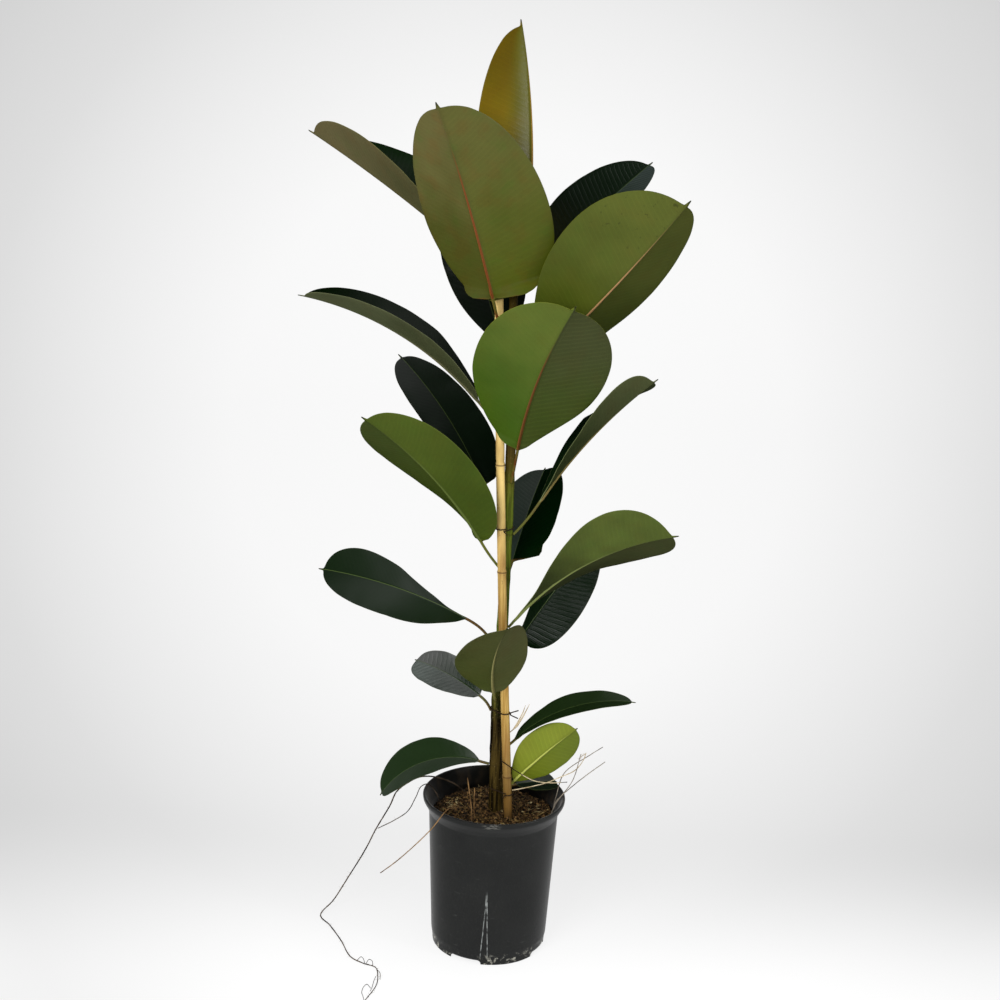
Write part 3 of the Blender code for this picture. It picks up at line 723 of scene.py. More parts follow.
# Each row starts with the height on the stem, the stalk's heading, length and rise, the blade's length and
# width, its pitch, roll and fold from base to tip, and its colour above. A pair is for the left and the right
# half, and four colours are for the base and the tip of each half. Angles are in degrees. The colours of the
# halves are partly each leaf's own and partly painted light and shade: the half the light falls on is lighter,
# the other darker, and grey colours above are painted sheen.
LEAF_ENTRIES = ("z", "heading", "stalk", "rise", "length", "width", "pitch", "roll", "fold", "top")
LEAVES = (
    (0.222, 25, 0.020, 0, 0.062, 0.055, (2, -12), (10, 10), (8, 8), (12, 26, 10),
     dict()),
    (0.256, 176, 0.014, 10, 0.156, 0.085, (12, -62), (-10, -20), (10, 10), (25, 44, 16),
     dict(widest=0.58, gloss=0.7, bloom=0.12)),
    (0.222, -8, 0.020, 30, 0.116, 0.067, (50, 42), (-76, -80), (10, 10), (50, 80, 20),
     dict(rib=(150, 156, 72), vein_tint=(0.16, 0.16),
          under=((122, 133, 34), (118, 130, 34), (104, 116, 24), (98, 112, 26)), edge=(84, 92, 30),
          blotch=0.1)),
    (0.279, 2, 0.020, 34, 0.174, 0.058, (47, -7), (5, 4), (10, 6), (24, 40, 14),
     dict(gloss=0.4)),
    # Leaf 5: the grey towards the tip above is painted sheen.
    (0.330, 155, 0.026, 60, 0.104, (0.066, 0.088), (28, 6), (-10, -20), (10, 10),
     ((10, 34, 10), (84, 86, 84), (8, 30, 10), (80, 90, 84)),
     dict(blunt=0.4, gloss=1.0, bloom=0.35, ridges=1.4, coat=0.5)),
    (0.350, -106, 0.020, 35, 0.131, 0.100, (62, 56), (14, 4), (12, 12), (21, 34, 15),
     dict(sweep=55, blunt=0.38, rib=(104, 100, 58),
          under=((62, 70, 26), (68, 72, 34), (68, 72, 34), (76, 78, 44)), edge=(92, 94, 56))),
    (0.4195, 178, 0.055, 62, 0.204, (0.094, 0.118), (27, 5.5), (-22, -26), (-20, 2, 10), (14, 30, 11),
     dict(widest=(0.76, 0.62), taper=(0.3, 0.1), gloss=0.25, coat=0, ridges=0, rib_above=0.9)),
    (0.405, 42, 0.030, 30, 0.178, (0.098, 0.050), (46, 36), (76, 70), (10, 14), (3, 20, 2),
     dict(widest=(0.40, 0.55), taper=(0, 0.35), gloss=0.4, ridges=1.2, coat=0.25)),
    (0.450, -20, 0.012, 50, 0.262, (0.160, 0.145), (54, 15), (-20, -42), (16, 6), (22, 38, 16),
     dict(widest=(0.80, 0.66), taper=(0.4, 0.1), rib=(84, 92, 44),
          under=((46, 54, 22), (84, 98, 36), (48, 54, 24), (68, 74, 38)), edge=(126, 138, 70))),
    # Leaf 10: the grey on its right half above is painted sheen.
    (0.515, 75, 0.030, 20, 0.178, (0.128, 0.080), (38, 22), (-15, -15), (20, 20),
     ((1, 18, 2), (2, 18, 3), (42, 54, 46), (38, 48, 40)),
     dict(widest=(0.30, 0.5), taper=(0, 0.3), gloss=0.2, coat=0, ridges=0.3)),
    (0.530, -165, 0.045, 50, 0.237, (0.120, 0.118), (58, 34), (22, 50), (23, 12), (18, 34, 12),
     dict(sweep=12, widest=(0.48, 0.45), taper=0, rib=(84, 98, 42),
          under=((62, 78, 18), (60, 72, 28), (60, 76, 16), (70, 84, 22)), edge=(120, 132, 60), gloss=0.2)),
    (0.575, 153, 0.065, 62, 0.205, (0.104, 0.114), (62, 37), (-8, -14), (10, 10), (4, 16, 4),
     dict(widest=(0.36, 0.6), taper=(0, 0.14), gloss=0.2, coat=0)),
    (0.575, -4, 0.055, 50, 0.220, (0.090, 0.112), (60, 40), (-2, -4, -38), (20, 24, 14), (10, 26, 8),
     dict(widest=(0.74, 0.68), taper=(0.4, 0.14), blunt=0.37, rib=(96, 84, 44),
          under=((48, 58, 28), (70, 76, 44), (44, 56, 26), (56, 64, 36)), gloss=0.15, edge=(140, 148, 100))),
    (0.645, -72, 0.052, 64, 0.221, (0.172, 0.176), (68, 58), (-30, -44), (18, 18), (20, 36, 14),
     dict(sweep=38, widest=(0.50, 0.60), taper=(0.10, 0.24), rib=(92, 50, 16),
          under=((62, 88, 14), (84, 98, 30), (58, 72, 18), (62, 68, 34)), edge=(150, 158, 50),
          vein_tint=(0.04, 0.3), rib_end=0.8)),
    (0.703, 176, 0.055, 52, 0.269, (0.124, 0.110), (48, 7.5), (7, 4), (25, 22), (3, 17, 1),
     dict(taper=(0.3, 0.14), gloss=0.06, coat=0, rib=(96, 94, 66),
          under=((66, 70, 46), (70, 74, 50), (70, 75, 48), (80, 86, 58)), edge=(122, 126, 92))),
    (0.785, 127, 0.040, 50, 0.180, (0.114, 0.118), (62, 50), (-5, -5), (12, 12), (6, 16, 5),
     dict(gloss=0.3, coat=0.3)),
    (0.775, -22, 0.032, 44, 0.287, (0.182, 0.174), (46, 53), (-43, -49), (28, 28), (20, 36, 14),
     dict(widest=(0.60, 0.42), rib=(150, 112, 74),
          under=((70, 80, 16), (82, 90, 28), (60, 70, 14), (72, 78, 26)), edge=(112, 118, 40), speckle=1.0)),
    (0.813, -134, 0.075, 58, 0.262, (0.162, 0.186), (70, 60), (27, 29), (25, 25), (20, 36, 14),
     dict(sweep=4, widest=(0.40, 0.36), taper=(0.14, 0), rib=(118, 58, 18),
          under=((72, 76, 22), (96, 92, 48), (76, 84, 14), (88, 88, 36)), edge=(108, 112, 56), blotch=0.6,
          rib_end=0.85)),
    # Leaf 19: the grey towards the tip of its left half above is painted sheen.
    (0.885, 31, 0.040, 44, 0.208, (0.118, 0.113), (43, 35), (18, 10), (16, 16),
     ((15, 30, 11), (54, 64, 60), (8, 22, 8), (10, 24, 10)),
     dict(ridges=1, gloss=0.6)),
    (0.892, 154, 0.050, 36, 0.293, (0.156, 0.146), (33, 25), (-6, 24), (38, 29), (4, 28, 0),
     dict(gloss=0.05, coat=0, rib=(84, 78, 44),
          under=((80, 80, 48), (94, 90, 62), (80, 80, 48), (92, 86, 56)), edge=(134, 132, 84))),
    # Leaf 21: its amber underside is partly its young colour, partly painted light shining through it from
    # behind.
    (0.945, -30, 0.034, 50, 0.238, 0.142, (87, 104), (0, 0), (40, 40), (60, 70, 16),
     dict(widest=0.36, blunt=0.52, arch=-0.42, rib=(128, 96, 24),
          under=((138, 118, 0), (88, 72, 0), (116, 112, 2), (88, 74, 2)), edge=(150, 140, 80), gloss=0.3,
          matt=0.30, rib_tint=(88, 86, 4))),
)
PLAIN_UNDER = ((56, 68, 30), (62, 74, 36), (56, 68, 30), (62, 74, 36))
BASE_TAPER = 0.14
BASE_TAPER_END = 0.38
VEIN_TINT = (0.10, 0.10)


def both(value):
    """A value for the left and for the right half of a leaf, where one may stand for both."""
    return value if isinstance(value, tuple) else (value, value)


def half_outline(share, widest, blunt):
    """Half width along the blade as a share of the greatest: a rounded oval ending in a small drip tip."""
    slope = blunt * widest / (1 - widest)
    u = np.clip(share / BODY_SHARE, 0, 1)
    body = (u / widest) ** slope * ((1 - u) / (1 - widest)) ** blunt
    rise = np.clip((share - DRIP_TIP_START) / DRIP_TIP_RISE, 0, 1)
    tip = DRIP_TIP_WIDTH * rise * np.clip((DRIP_TIP_END - share) / DRIP_TIP_LENGTH, 0, 1)
    return np.hypot(body, tip)


def along_blade(values, share):
    """Values given at even steps from base to tip, read at this share of the blade."""
    return np.interp(share, np.linspace(0, 1, len(values)), values)


def leaf_guide(name, leaf):
    """The line of stalk and midrib, with the directions, half width and fold angle of the blade along it."""
    reach = leaf["stalk"] + leaf["length"]
    along = np.linspace(0, reach, PATH_STEPS + 1)
    share = np.clip((along - leaf["stalk"]) / leaf["length"], 0, 1)
    on_stalk = np.clip(along / leaf["stalk"], 0, 1)
    eased = on_stalk * on_stalk * (3 - 2 * on_stalk)
    pitch = along_blade(leaf["pitch"], share)
    slope = np.radians(np.where(along < leaf["stalk"], leaf["rise"] * (1 - eased) + pitch * eased, pitch))
    turn = np.radians(leaf["heading"] + leaf.get("sweep", 0) * share)
    twist = np.radians(along_blade(leaf["roll"], share)) * on_stalk
    forward = np.stack([np.cos(slope) * np.cos(turn), np.cos(slope) * np.sin(turn), np.sin(slope)], 1)
    level = np.stack([-np.sin(turn), np.cos(turn), 0 * turn], 1)
    upright = np.cross(forward, level)
    side = np.cos(twist)[:, None] * level + np.sin(twist)[:, None] * upright
    up = np.cos(twist)[:, None] * upright - np.sin(twist)[:, None] * level
    stem_x, stem_y, radius = on_line(STEM, leaf["z"], (0, 1, 3))
    outward = np.array([math.cos(turn[0]), math.sin(turn[0]), 0])
    start = np.array([stem_x, stem_y, leaf["z"]]) + (radius + STALK_GAP) * outward
    steps = (forward[1:] + forward[:-1]) / 2 * np.diff(along)[:, None]
    path = np.vstack([start, start + np.cumsum(steps, 0)])
    opened = np.clip(share / BASE_TAPER_END, 0, 1)
    unopened = 1 - opened * opened * (3 - 2 * opened)
    fade = 1 - np.clip((share - 0.7) / 0.3, 0, 1)
    halves = []
    for width, widest, taper in zip(
            both(leaf["width"]), both(leaf.get("widest", 0.55)), both(leaf.get("taper", BASE_TAPER))):
        outline = half_outline(share, widest, leaf.get("blunt", 0.5)) * (1 - taper * unopened)
        halves.append(np.hypot(width / 2 * outline, STALK_HALF_WIDTH * (0.25 + 0.75 * fade)))
    fold = np.radians(along_blade(leaf["fold"], share)) * np.clip(share / 0.05, 0, 1)
    mesh = bpy.data.meshes.new(name)
    mesh.from_pydata(path.tolist(), [(k, k + 1) for k in range(PATH_STEPS)], [])
    for label, rows in (("side", side), ("up", up)):
        mesh.attributes.new(label, "FLOAT_VECTOR", "POINT").data.foreach_set("vector", rows.ravel())
    for label, row in (("left half", halves[0]), ("right half", halves[1]), ("fold", fold)):
        mesh.attributes.new(label, "FLOAT", "POINT").data.foreach_set("value", row)
    return mesh


def leaf_tree():
    """A closed leaf round its guide: a grid wrapped over the upper side and back under the lower side.

    Grid lines across the blade slant forward as the side veins do, so that each fourth one is a vein.
    """
    tree, size = new_tree("Leaf", (
        "Stalk", "Length", "Vein slant", "Blade thickness", "Rib height", "Rib half width", "Groove",
        "Vein depth", "Arch", "Wave", "Wave place"), {"Veins": "Int", "Stalk stations": "Int", "Around": "Int"})
    start = size["Geometry"]
    stations = size["Veins"] * STATIONS_PER_VEIN
    total = stations + size["Stalk stations"] + 1
    grid = start.add("GeometryNodeMeshGrid", {}, {
        "Size X": 1.0, "Size Y": 1.0, "Vertices X": total + 1, "Vertices Y": size["Around"] + 1})
    spot = start.add("GeometryNodeInputPosition")
    x, y = spot.axes()[:2]
    station = (x + 0.5) * total
    wrap = y + 0.5
    across = 1 - abs(wrap * 4 - 2)
    sign = (across > 0) * 2 - 1
    lower = wrap > 0.5
    swept = abs(across).maths("SINE", abs(across) * (math.pi / 2)) ** 1.8

    def held(wire, low=0.0, high=1.0):
        return wire.maths("MAXIMUM", wire.maths("MINIMUM", wire, high), low)

    blade = held((station - size["Stalk stations"] - 1) / stations)
    stalk = held((station - 1) / size["Stalk stations"])
    share = blade + size["Vein slant"] * swept * blade * (1 - blade)
    factor = (size["Stalk"] * stalk + size["Length"] * share) / (size["Stalk"] + size["Length"])
    closed = held(station) * held(total - station)
    line = start.add("GeometryNodeMeshToCurve", {}, {0: start})

    def sampled(name, kind):
        return line.add("GeometryNodeSampleCurve", {"data_type": kind, "mode": "FACTOR"}, {
            "Curves": line, "Value": attribute_of(line, name, kind), "Factor": factor}, 0)

    centre = line.add("GeometryNodeSampleCurve", {"mode": "FACTOR"}, {"Curves": line, "Factor": factor}, 1)
    side = sampled("side", "FLOAT_VECTOR")
    up = sampled("up", "FLOAT_VECTOR")
    in_blade = held(share / 0.03)
    left_half = sampled("left half", "FLOAT")
    half = (left_half + (sampled("right half", "FLOAT") - left_half) * (across > 0)) * closed
    fold = sampled("fold", "FLOAT")
    out = swept * half
    lift = out * fold.maths("SINE", fold) * (1 + size["Arch"] * (1 - swept))
    middle = centre + side * (out * sign * fold.maths("COSINE", fold)) + up * lift
    lean = fold * held(out / 0.003)
    normal = up * lean.maths("COSINE", lean) - side * (lean.maths("SINE", lean) * sign)
    phase = blade * size["Veins"]
    off_vein = abs(phase.maths("FRACT", phase + 0.5) - 0.5)
    vein = held(1 - off_vein * 4) * in_blade * held(out / 0.004) * (1 - swept**6)
    groove = held(1 - out / 0.0011) * in_blade * (1 - share)
    ripple = spot.add("ShaderNodeTexNoise", {}, {
        "Vector": spot.vector(share * 5, sign * 3 + out * 9, size["Wave place"]),
        "Scale": 1.0, "Detail": 1.0}) - 0.5
    swell = ripple * size["Wave"] * swept**1.5 * in_blade * (1 - share**8)
    dome = (1 - in_blade) * held(1 - swept**2) ** 0.5 * 0.0006 * closed
    surface = middle + normal * (swell + dome - groove * size["Groove"] - vein * size["Vein depth"])
    rib_half = half.maths("MAXIMUM", half.maths(
        "MINIMUM", half, size["Rib half width"] * (1 - 0.62 * share)), 0.000001)
    rib_full = (1 - in_blade) + in_blade * (0.66 * held(1 - share) ** 1.15 + 0.02)
    rib = size["Rib height"] * rib_full * held(1 - (out / rib_half) ** 2) ** 0.5
    sheet = size["Blade thickness"] * in_blade * held(1 - swept**14) ** 0.5
    thickness = (rib + sheet) * closed
    for name, parts in (("leaf_place", (share, swept * sign, 1 - lower * 2)),
                        ("leaf_lines", (out * 1000, (1 - swept) * half * 1000, phase))):
        grid = grid.add("GeometryNodeStoreNamedAttribute", {"data_type": "FLOAT_VECTOR"}, {
            "Geometry": grid, "Name": name, "Value": grid.vector(*parts)})
    shaped = grid.add("GeometryNodeSetPosition", {}, {
        "Geometry": grid, "Position": surface - normal * (thickness * lower)})
    welded = shaped.add("GeometryNodeMergeByDistance", {}, {"Geometry": shaped, "Distance": 0.000002})
    smooth = welded.add("GeometryNodeSetShadeSmooth", {}, {0: welded})
    close_tree(smooth, size["Material"])
    return tree


def leaf_finish(name, leaf, seed):
    """The skin of one leaf, its greens above and from base to tip on each half below, with light and shade
    painted in.
    """
    made, shader, place = new_finish(name, leaf.get("gloss", 0.35))
    shader.inputs["Sheen Weight"].default_value = leaf.get("bloom", 0.0)
    shader.inputs["Sheen Roughness"].default_value = 0.4
    shader.inputs["Coat Roughness"].default_value = 0.16
    spot = place + (seed * 1.7, seed * 0.9, seed * 0.4)
    at = place.add("ShaderNodeAttribute", {"attribute_name": "leaf_place"}, output="Vector")
    lines = place.add("ShaderNodeAttribute", {"attribute_name": "leaf_lines"}, output="Vector")
    share, column, face = at.axes()
    rib_distance, edge_distance, phase = lines.axes()
    above = between(face, -0.3, 0.3)
    cloud = patches(spot, 16, 3)
    blots = patches(spot, 42, 4)
    fine = patches(spot, 300, 3)
    uneven = patches(spot, 24, 2)

    # Side veins, and the finer ones between them
    drift = phase + (uneven - 0.5) * 0.5
    off_vein = abs(drift.maths("FRACT", drift + 0.5) - 0.5)
    clear = between(edge_distance, 1.5, 7.0) * between(rib_distance, 1.0, 4.0)
    vein = between(off_vein, 0.26, 0.02) * clear
    thin_drift = drift * 3 + 0.5
    thin_vein = between(abs(thin_drift.maths("FRACT", thin_drift) - 0.5), 0.35, 0.05) * clear

    along = between(share + (cloud - 0.5) * 0.5, 0.15, 0.9)

    def two_halves(colours):
        """Each half of the blade runs from its base colour to its tip colour, with light and shade painted in.
        """
        left_base, left_tip, right_base, right_tip = (paint(*colour) for colour in colours)
        left = mixed(along, left_base, left_tip)
        return mixed(between(column, -0.02, 0.02), left, mixed(along, right_base, right_tip))

    # Underside colours per half, with painted light and shade.
    under = two_halves(leaf.get("under", PLAIN_UNDER))
    if "rib_tint" in leaf:
        under = mixed(between(abs(column) + (cloud - 0.5) * 0.3, 0.62, 0.15), under, paint(*leaf["rib_tint"]))
    under = under * (0.8 + cloud * 0.4)
    under = mixed(between(blots, 0.48, 0.68) * leaf.get("blotch", 0.25), under, under * (1.12, 0.86, 0.8))
    under = mixed(between(blots, 0.44, 0.30) * leaf.get("blotch", 0.25), under, under * (0.86, 1.1, 0.9))
    left_tint, right_tint = leaf.get("vein_tint", VEIN_TINT)
    tint = between(column, -0.02, 0.02) * (right_tint - left_tint) + left_tint
    under = mixed(vein * tint + thin_vein * 0.04, under, under * 1.5)
    under = mixed(between(fine, 0.6, 0.7) * 0.2, under, under * 0.6)
    spots = between(patches(spot, 150, 2), 0.66, 0.72)
    spots = spots * between(share, 0.55, 0.8) * between(column, 0.1, -0.1)
    under = mixed(spots * leaf.get("speckle", 0.0) * 0.6, under, under * 0.35)

    # Midrib below: stout and dark at the base, gone near the tip, with painted shade beside it and a painted
    # highlight on its lit flank
    rib_width = 1.75 - 1.6 * share
    rib = between(rib_distance - rib_width, 0.3, -0.15) * between(share, leaf.get("rib_end", 0.97), 0.5)
    rib_colour = paint(*leaf.get("rib", (104, 74, 36)))
    # Painted shade on the blade along both sides of the raised midrib.
    under = mixed(between(rib_distance - rib_width, 4.0, 0.2) * 0.3, under, under * 0.72)
    # Painted highlight on one flank of the midrib.
    lit_rib_highlight = rib * between(column, 0.004, -0.02)
    under = mixed(rib * 0.9, under, rib_colour)
    under = mixed(lit_rib_highlight * 0.55, under, tuple(min(level * 2.3 + 0.02, 1) for level in rib_colour))

    # Upper colours per half; the grey ones are painted sheen.
    top = two_halves(leaf["top"] if isinstance(leaf["top"][0], tuple) else [leaf["top"]] * 4)
    upper = mixed(cloud, top, top * 1.4)
    upper = mixed(vein * 0.06, upper, upper * 1.6)
    # Pale midrib above; leaf 7's stronger one is partly a painted highlight along the midrib.
    upper = mixed(between(rib_distance, 0.75, 0.3) * leaf.get("rib_above", 0.5), upper, paint(86, 104, 52))
    skin = mixed(above, under, upper)
    # Pale margin: partly the leaf's own paler edge, partly a painted highlight along the rim.
    margin_and_rim_highlight = between(edge_distance, 0.55, 0.2)
    skin = mixed(margin_and_rim_highlight * 0.6, skin, paint(*leaf.get("edge", (96, 104, 52))))
    stalk = between(share, 0.012, 0.0)
    stalk_colour = mixed(between(blots, 0.35, 0.6), rib_colour, paint(96, 98, 34))
    skin = mixed(stalk * 0.85, skin, stalk_colour)
    mucro = between(share, 0.975, 0.992)
    skin = mixed(mucro * 0.85, skin, paint(28, 30, 16))
    rough = leaf.get("matt", 0.46) + stalk * 0.1 + above * (0.32 - leaf.get("matt", 0.46) + cloud * 0.06)
    ridges = (vein * 0.5 + thin_vein * 0.15) * (0.25 - above * (0.25 + leaf.get("ridges", 0.12)))
    relief = ridges + fine * 0.06 * (1 - above) + blots * 0.35
    feed(shader, skin, rough, relief, 0.0003)
    coat = above * leaf.get("coat", 0.2)
    made.node_tree.links.new(coat.socket, shader.inputs["Coat Weight"])
    return made


leaf_build = leaf_tree()
for number, (*entries, more) in enumerate(LEAVES, 1):
    name = f"leaf_{number:02d}"
    leaf = dict(zip(LEAF_ENTRIES, entries), **more)
    sizes = {
        "Veins": round(leaf["length"] / VEIN_SPACING), "Stalk stations": round(leaf["stalk"] / STATION_LENGTH),
        "Around": AROUND, "Stalk": leaf["stalk"], "Length": leaf["length"], "Vein slant": 0.55,
        "Blade thickness": 0.0009, "Rib height": 0.0034, "Rib half width": STALK_HALF_WIDTH, "Groove": 0.0005,
        "Vein depth": 0.00004, "Arch": leaf.get("arch", 0.06), "Wave": 0.004, "Wave place": number * 2.3,
        "Material": leaf_finish(name + "_skin", leaf, number)}
    blade = grown(name + "_blade", leaf_guide(name + "_guide", leaf), leaf_build, sizes)
    stand_for(blade, "leaf", name)

# Loose strands: a long root that trails over the left rim to the floor with its fine rootlets, and dry straws
# and twigs of last year's growth that stand in the soil or lean on the pot and the cane. Each is one strand.
# A pale papery sheath is left on the stalk of the leaf at the right.
STRANDS = (
    ("trailing_root", "root", "old_root", 0.0011, 0.0006, (
        (-0.040, 0.056, 0.1879), (-0.057, 0.047, 0.2040), (-0.083, 0.033, 0.2180), (-0.101, 0.026, 0.2200),
        (-0.117, 0.021, 0.2130), (-0.131, 0.020, 0.2005), (-0.140, 0.024, 0.1775), (-0.159, 0.034, 0.1365),
        (-0.174, 0.042, 0.1000), (-0.200, 0.056, 0.0460), (-0.218, 0.060, 0.0120), (-0.233, 0.038, 0.0012),
        (-0.217, 0.009, 0.0012), (-0.198, -0.030, 0.0012), (-0.180, -0.073, 0.0012), (-0.163, -0.087, 0.0012),
        (-0.146, -0.096, 0.0012), (-0.141, -0.116, 0.0012), (-0.141, -0.141, 0.0012),
        (-0.152, -0.178, 0.0012))),
    ("root_branch", "root", "old_root", 0.0006, 0.0006, (
        (-0.1562, 0.0335, 0.1380), (-0.133, 0.022, 0.1570), (-0.115, 0.012, 0.1760), (-0.105, 0.008, 0.1980),
        (-0.098, 0.008, 0.2145), (-0.090, 0.011, 0.2170), (-0.080, 0.015, 0.2060), (-0.071, 0.018, 0.1858))),
    ("brown_straw", "straw", "brown_straw", 0.0008, 0.0006, (
        (-0.041, 0.005, 0.1885), (-0.052, -0.032, 0.2040), (-0.062, -0.070, 0.2165), (-0.080, -0.088, 0.1980),
        (-0.120, -0.100, 0.1595), (-0.142, -0.105, 0.1425))),
    ("dark_root", "root", "half_dry_root", 0.0007, 0.0005, (
        (0.007, -0.0224, 0.2705), (0.023, -0.0236, 0.2600), (0.037, -0.025, 0.2520), (0.052, -0.024, 0.2445),
        (0.073, -0.018, 0.2400), (0.096, -0.010, 0.2385))),
    ("pale_straw", "straw", "pale_straw", 0.0008, 0.0005, (
        (0.0237, -0.017, 0.2265), (0.034, -0.017, 0.2290), (0.067, -0.013, 0.2370), (0.086, -0.010, 0.2450),
        (0.106, -0.006, 0.2545), (0.116, -0.004, 0.2685), (0.119, -0.004, 0.2790))),
    ("upright_straw", "straw", "brown_straw", 0.0009, 0.0006, (
        (-0.028, -0.035, 0.1880), (-0.029, -0.030, 0.2020), (-0.033, -0.025, 0.2260),
        (-0.036, -0.022, 0.2435))),
    ("forked_straw", "straw", "brown_straw", 0.0008, 0.0006, (
        (-0.025, -0.029, 0.1880), (-0.026, -0.027, 0.2110), (-0.026, -0.025, 0.2305))),
    ("twig_upright", "root", "grey_twig", 0.0007, 0.0005, (
        (0.074, -0.012, 0.1853), (0.084, -0.011, 0.2100), (0.103, -0.008, 0.2400), (0.112, -0.010, 0.2795))),
    ("twig_back", "root", "grey_twig", 0.0007, 0.0005, (
        (0.079, 0.006, 0.1842), (0.083, -0.002, 0.2150), (0.092, 0.008, 0.2430), (0.126, 0.020, 0.2660),
        (0.142, 0.020, 0.2780))),
    ("twig_front", "root", "grey_twig", 0.0007, 0.0005, (
        (0.077, -0.004, 0.1848), (0.083, -0.006, 0.2080), (0.093, -0.004, 0.2195), (0.120, 0.000, 0.2440),
        (0.145, 0.000, 0.2655))),
)
ROOTLET_RADIUS = 0.0004
ROOTLETS = (
    ((-0.1431, -0.1179, 0.0010), (-0.1448, -0.1281, 0.0008), (-0.1459, -0.1454, 0.0008),
     (-0.1476, -0.1553, 0.0010)),
    ((-0.1476, -0.1480, 0.0010), (-0.1530, -0.1386, 0.0008), (-0.1566, -0.1463, 0.0016),
     (-0.1580, -0.1586, 0.0008), (-0.1555, -0.1680, 0.0006), (-0.1534, -0.1774, 0.0006)),
    ((-0.1712, -0.0800, 0.0010), (-0.1666, -0.0743, 0.0030), (-0.1638, -0.0766, 0.0024),
     (-0.1607, -0.0860, 0.0008)),
    ((-0.1590, -0.0885, 0.0010), (-0.1554, -0.0810, 0.0036), (-0.1513, -0.0832, 0.0030),
     (-0.1493, -0.0940, 0.0010)),
    ((-0.1440, -0.1000, 0.0010), (-0.1383, -0.1125, 0.0024), (-0.1373, -0.1249, 0.0006)),
)
HAIR_SIZES = ("Spacing", "Least", "Most", "Thickness", "Least tilt", "Most tilt", "Seed")
HAIRS = {
    "trailing_root": (0.0035, 0.0018, 0.0065, 0.00016, 1.15, 1.55, 61),
    "root_branch": (0.0080, 0.0015, 0.0050, 0.00014, 0.60, 1.55, 67),
    "pale_straw": (0.0060, 0.0010, 0.0030, 0.00014, 0.30, 1.50, 71),
}
FLUFF_HAIRS = (0.00022, 0.0016, 0.0046, 0.00014, 0.2, 2.2, 83)
FLUFF = ((0.1100, -0.005, 0.2690, 0.0002), (0.1135, -0.005, 0.2740, 0.0002), (0.1180, -0.004, 0.2770, 0.0002))
SHEATH_THICKNESS = 0.00016
SHEATHS = (
    ((0.0150, -0.0040, 0.3010, 0.0010), (0.0257, -0.0050, 0.3120, 0.0016), (0.0335, -0.0055, 0.3270, 0.0011),
     (0.0413, -0.0050, 0.3450, 0.0003)),
    ((0.0210, -0.0045, 0.3070, 0.0009), (0.0270, -0.0060, 0.3190, 0.0010), (0.0330, -0.0070, 0.3330, 0.0008),
     (0.0360, -0.0070, 0.3440, 0.0002)),
)


def strand_finish(name, dark, light):
    """Dry skin of a root or a straw, mottled along its length."""
    made, shader, place = new_finish(name, 0.3)
    tone = patches(place, 60, 3)
    skin = mixed(between(tone, 0.35, 0.65), dark, light)
    feed(shader, skin, 0.7 + tone * 0.2, patches(place, 900, 3), 0.0004)
    return made


def hair_tree():
    """Fine hairs that stand off along a line: thin cones, each turned and sized at random."""
    tree, size = new_tree("Hairs", HAIR_SIZES[:-1], {"Seed": "Int"})
    start = size["Geometry"]
    line = start.add("GeometryNodeMeshToCurve", {}, {0: start})
    points = line.add("GeometryNodeCurveToPoints", {"mode": "LENGTH"}, {
        "Curve": line, "Length": size["Spacing"]})
    cone = start.add("GeometryNodeMeshCone", {}, {
        "Vertices": 4, "Radius Top": 0.15, "Radius Bottom": 1.0, "Depth": 1.0})
    seed = size["Seed"]
    turn = start.vector(
        random_of(start, size["Least tilt"], size["Most tilt"], seed), 0,
        random_of(start, 0, math.tau, seed + 1))
    length = random_of(start, size["Least"], size["Most"], seed + 2)
    hairs = placed(points, cone, turn, start.vector(size["Thickness"], size["Thickness"], length))
    close_tree(hairs, size["Material"])
    return tree


def sheath_sheet(name, points, finish):
    """A thin curled sheet along points of (x, y, z, half width), closed all round."""
    corners = []
    for x, y, z, half in points:
        corners += [(x - half, y, z), (x, y - half * 0.6, z), (x + half, y, z + half * 0.3),
                    (x, y - half * 0.6 + SHEATH_THICKNESS, z)]
    faces = [(3, 2, 1, 0), tuple(range(len(corners) - 4, len(corners)))]
    for row in range(0, len(corners) - 4, 4):
        for k in range(4):
            faces.append((row + k, row + (k + 1) % 4, row + 4 + (k + 1) % 4, row + 4 + k))
    mesh = bpy.data.meshes.new(name)
    mesh.from_pydata(corners, [], faces)
    form = bmesh.new()
    form.from_mesh(mesh)
    bmesh.ops.recalc_face_normals(form, faces=form.faces)
    form.to_mesh(mesh)
    form.free()
    return add_object(name, mesh, finish)


strand_skins = {
    "old_root": strand_finish("old_root", paint(40, 32, 24), paint(92, 78, 62)),
    "grey_twig": strand_finish("grey_twig", paint(92, 84, 74), paint(146, 136, 122)),
    "brown_straw": strand_finish("brown_straw", paint(84, 60, 34), paint(150, 116, 74)),
    "pale_straw": strand_finish("pale_straw", paint(168, 148, 112), paint(216, 200, 168)),
}
half_dry, shader, place = new_finish("half_dry_root", 0.3)
x = place.axes()[0]
dry = between(x, 0.033, 0.039) * between(x, 0.090, 0.084)
feed(shader, mixed(dry, paint(34, 24, 16), paint(206, 190, 154)), 0.7 + patches(place, 60, 3) * 0.2)
strand_skins["half_dry_root"] = half_dry
hair = hair_tree()


def hairs_on(name, line, step, numbers, look):
    """Hairs of these sizes on a line of (x, y, z, radius)."""
    sizes = dict(zip(HAIR_SIZES, numbers), Material=strand_skins[look])
    return grown(name, guide_line(name + "_line", line, step), hair, sizes)


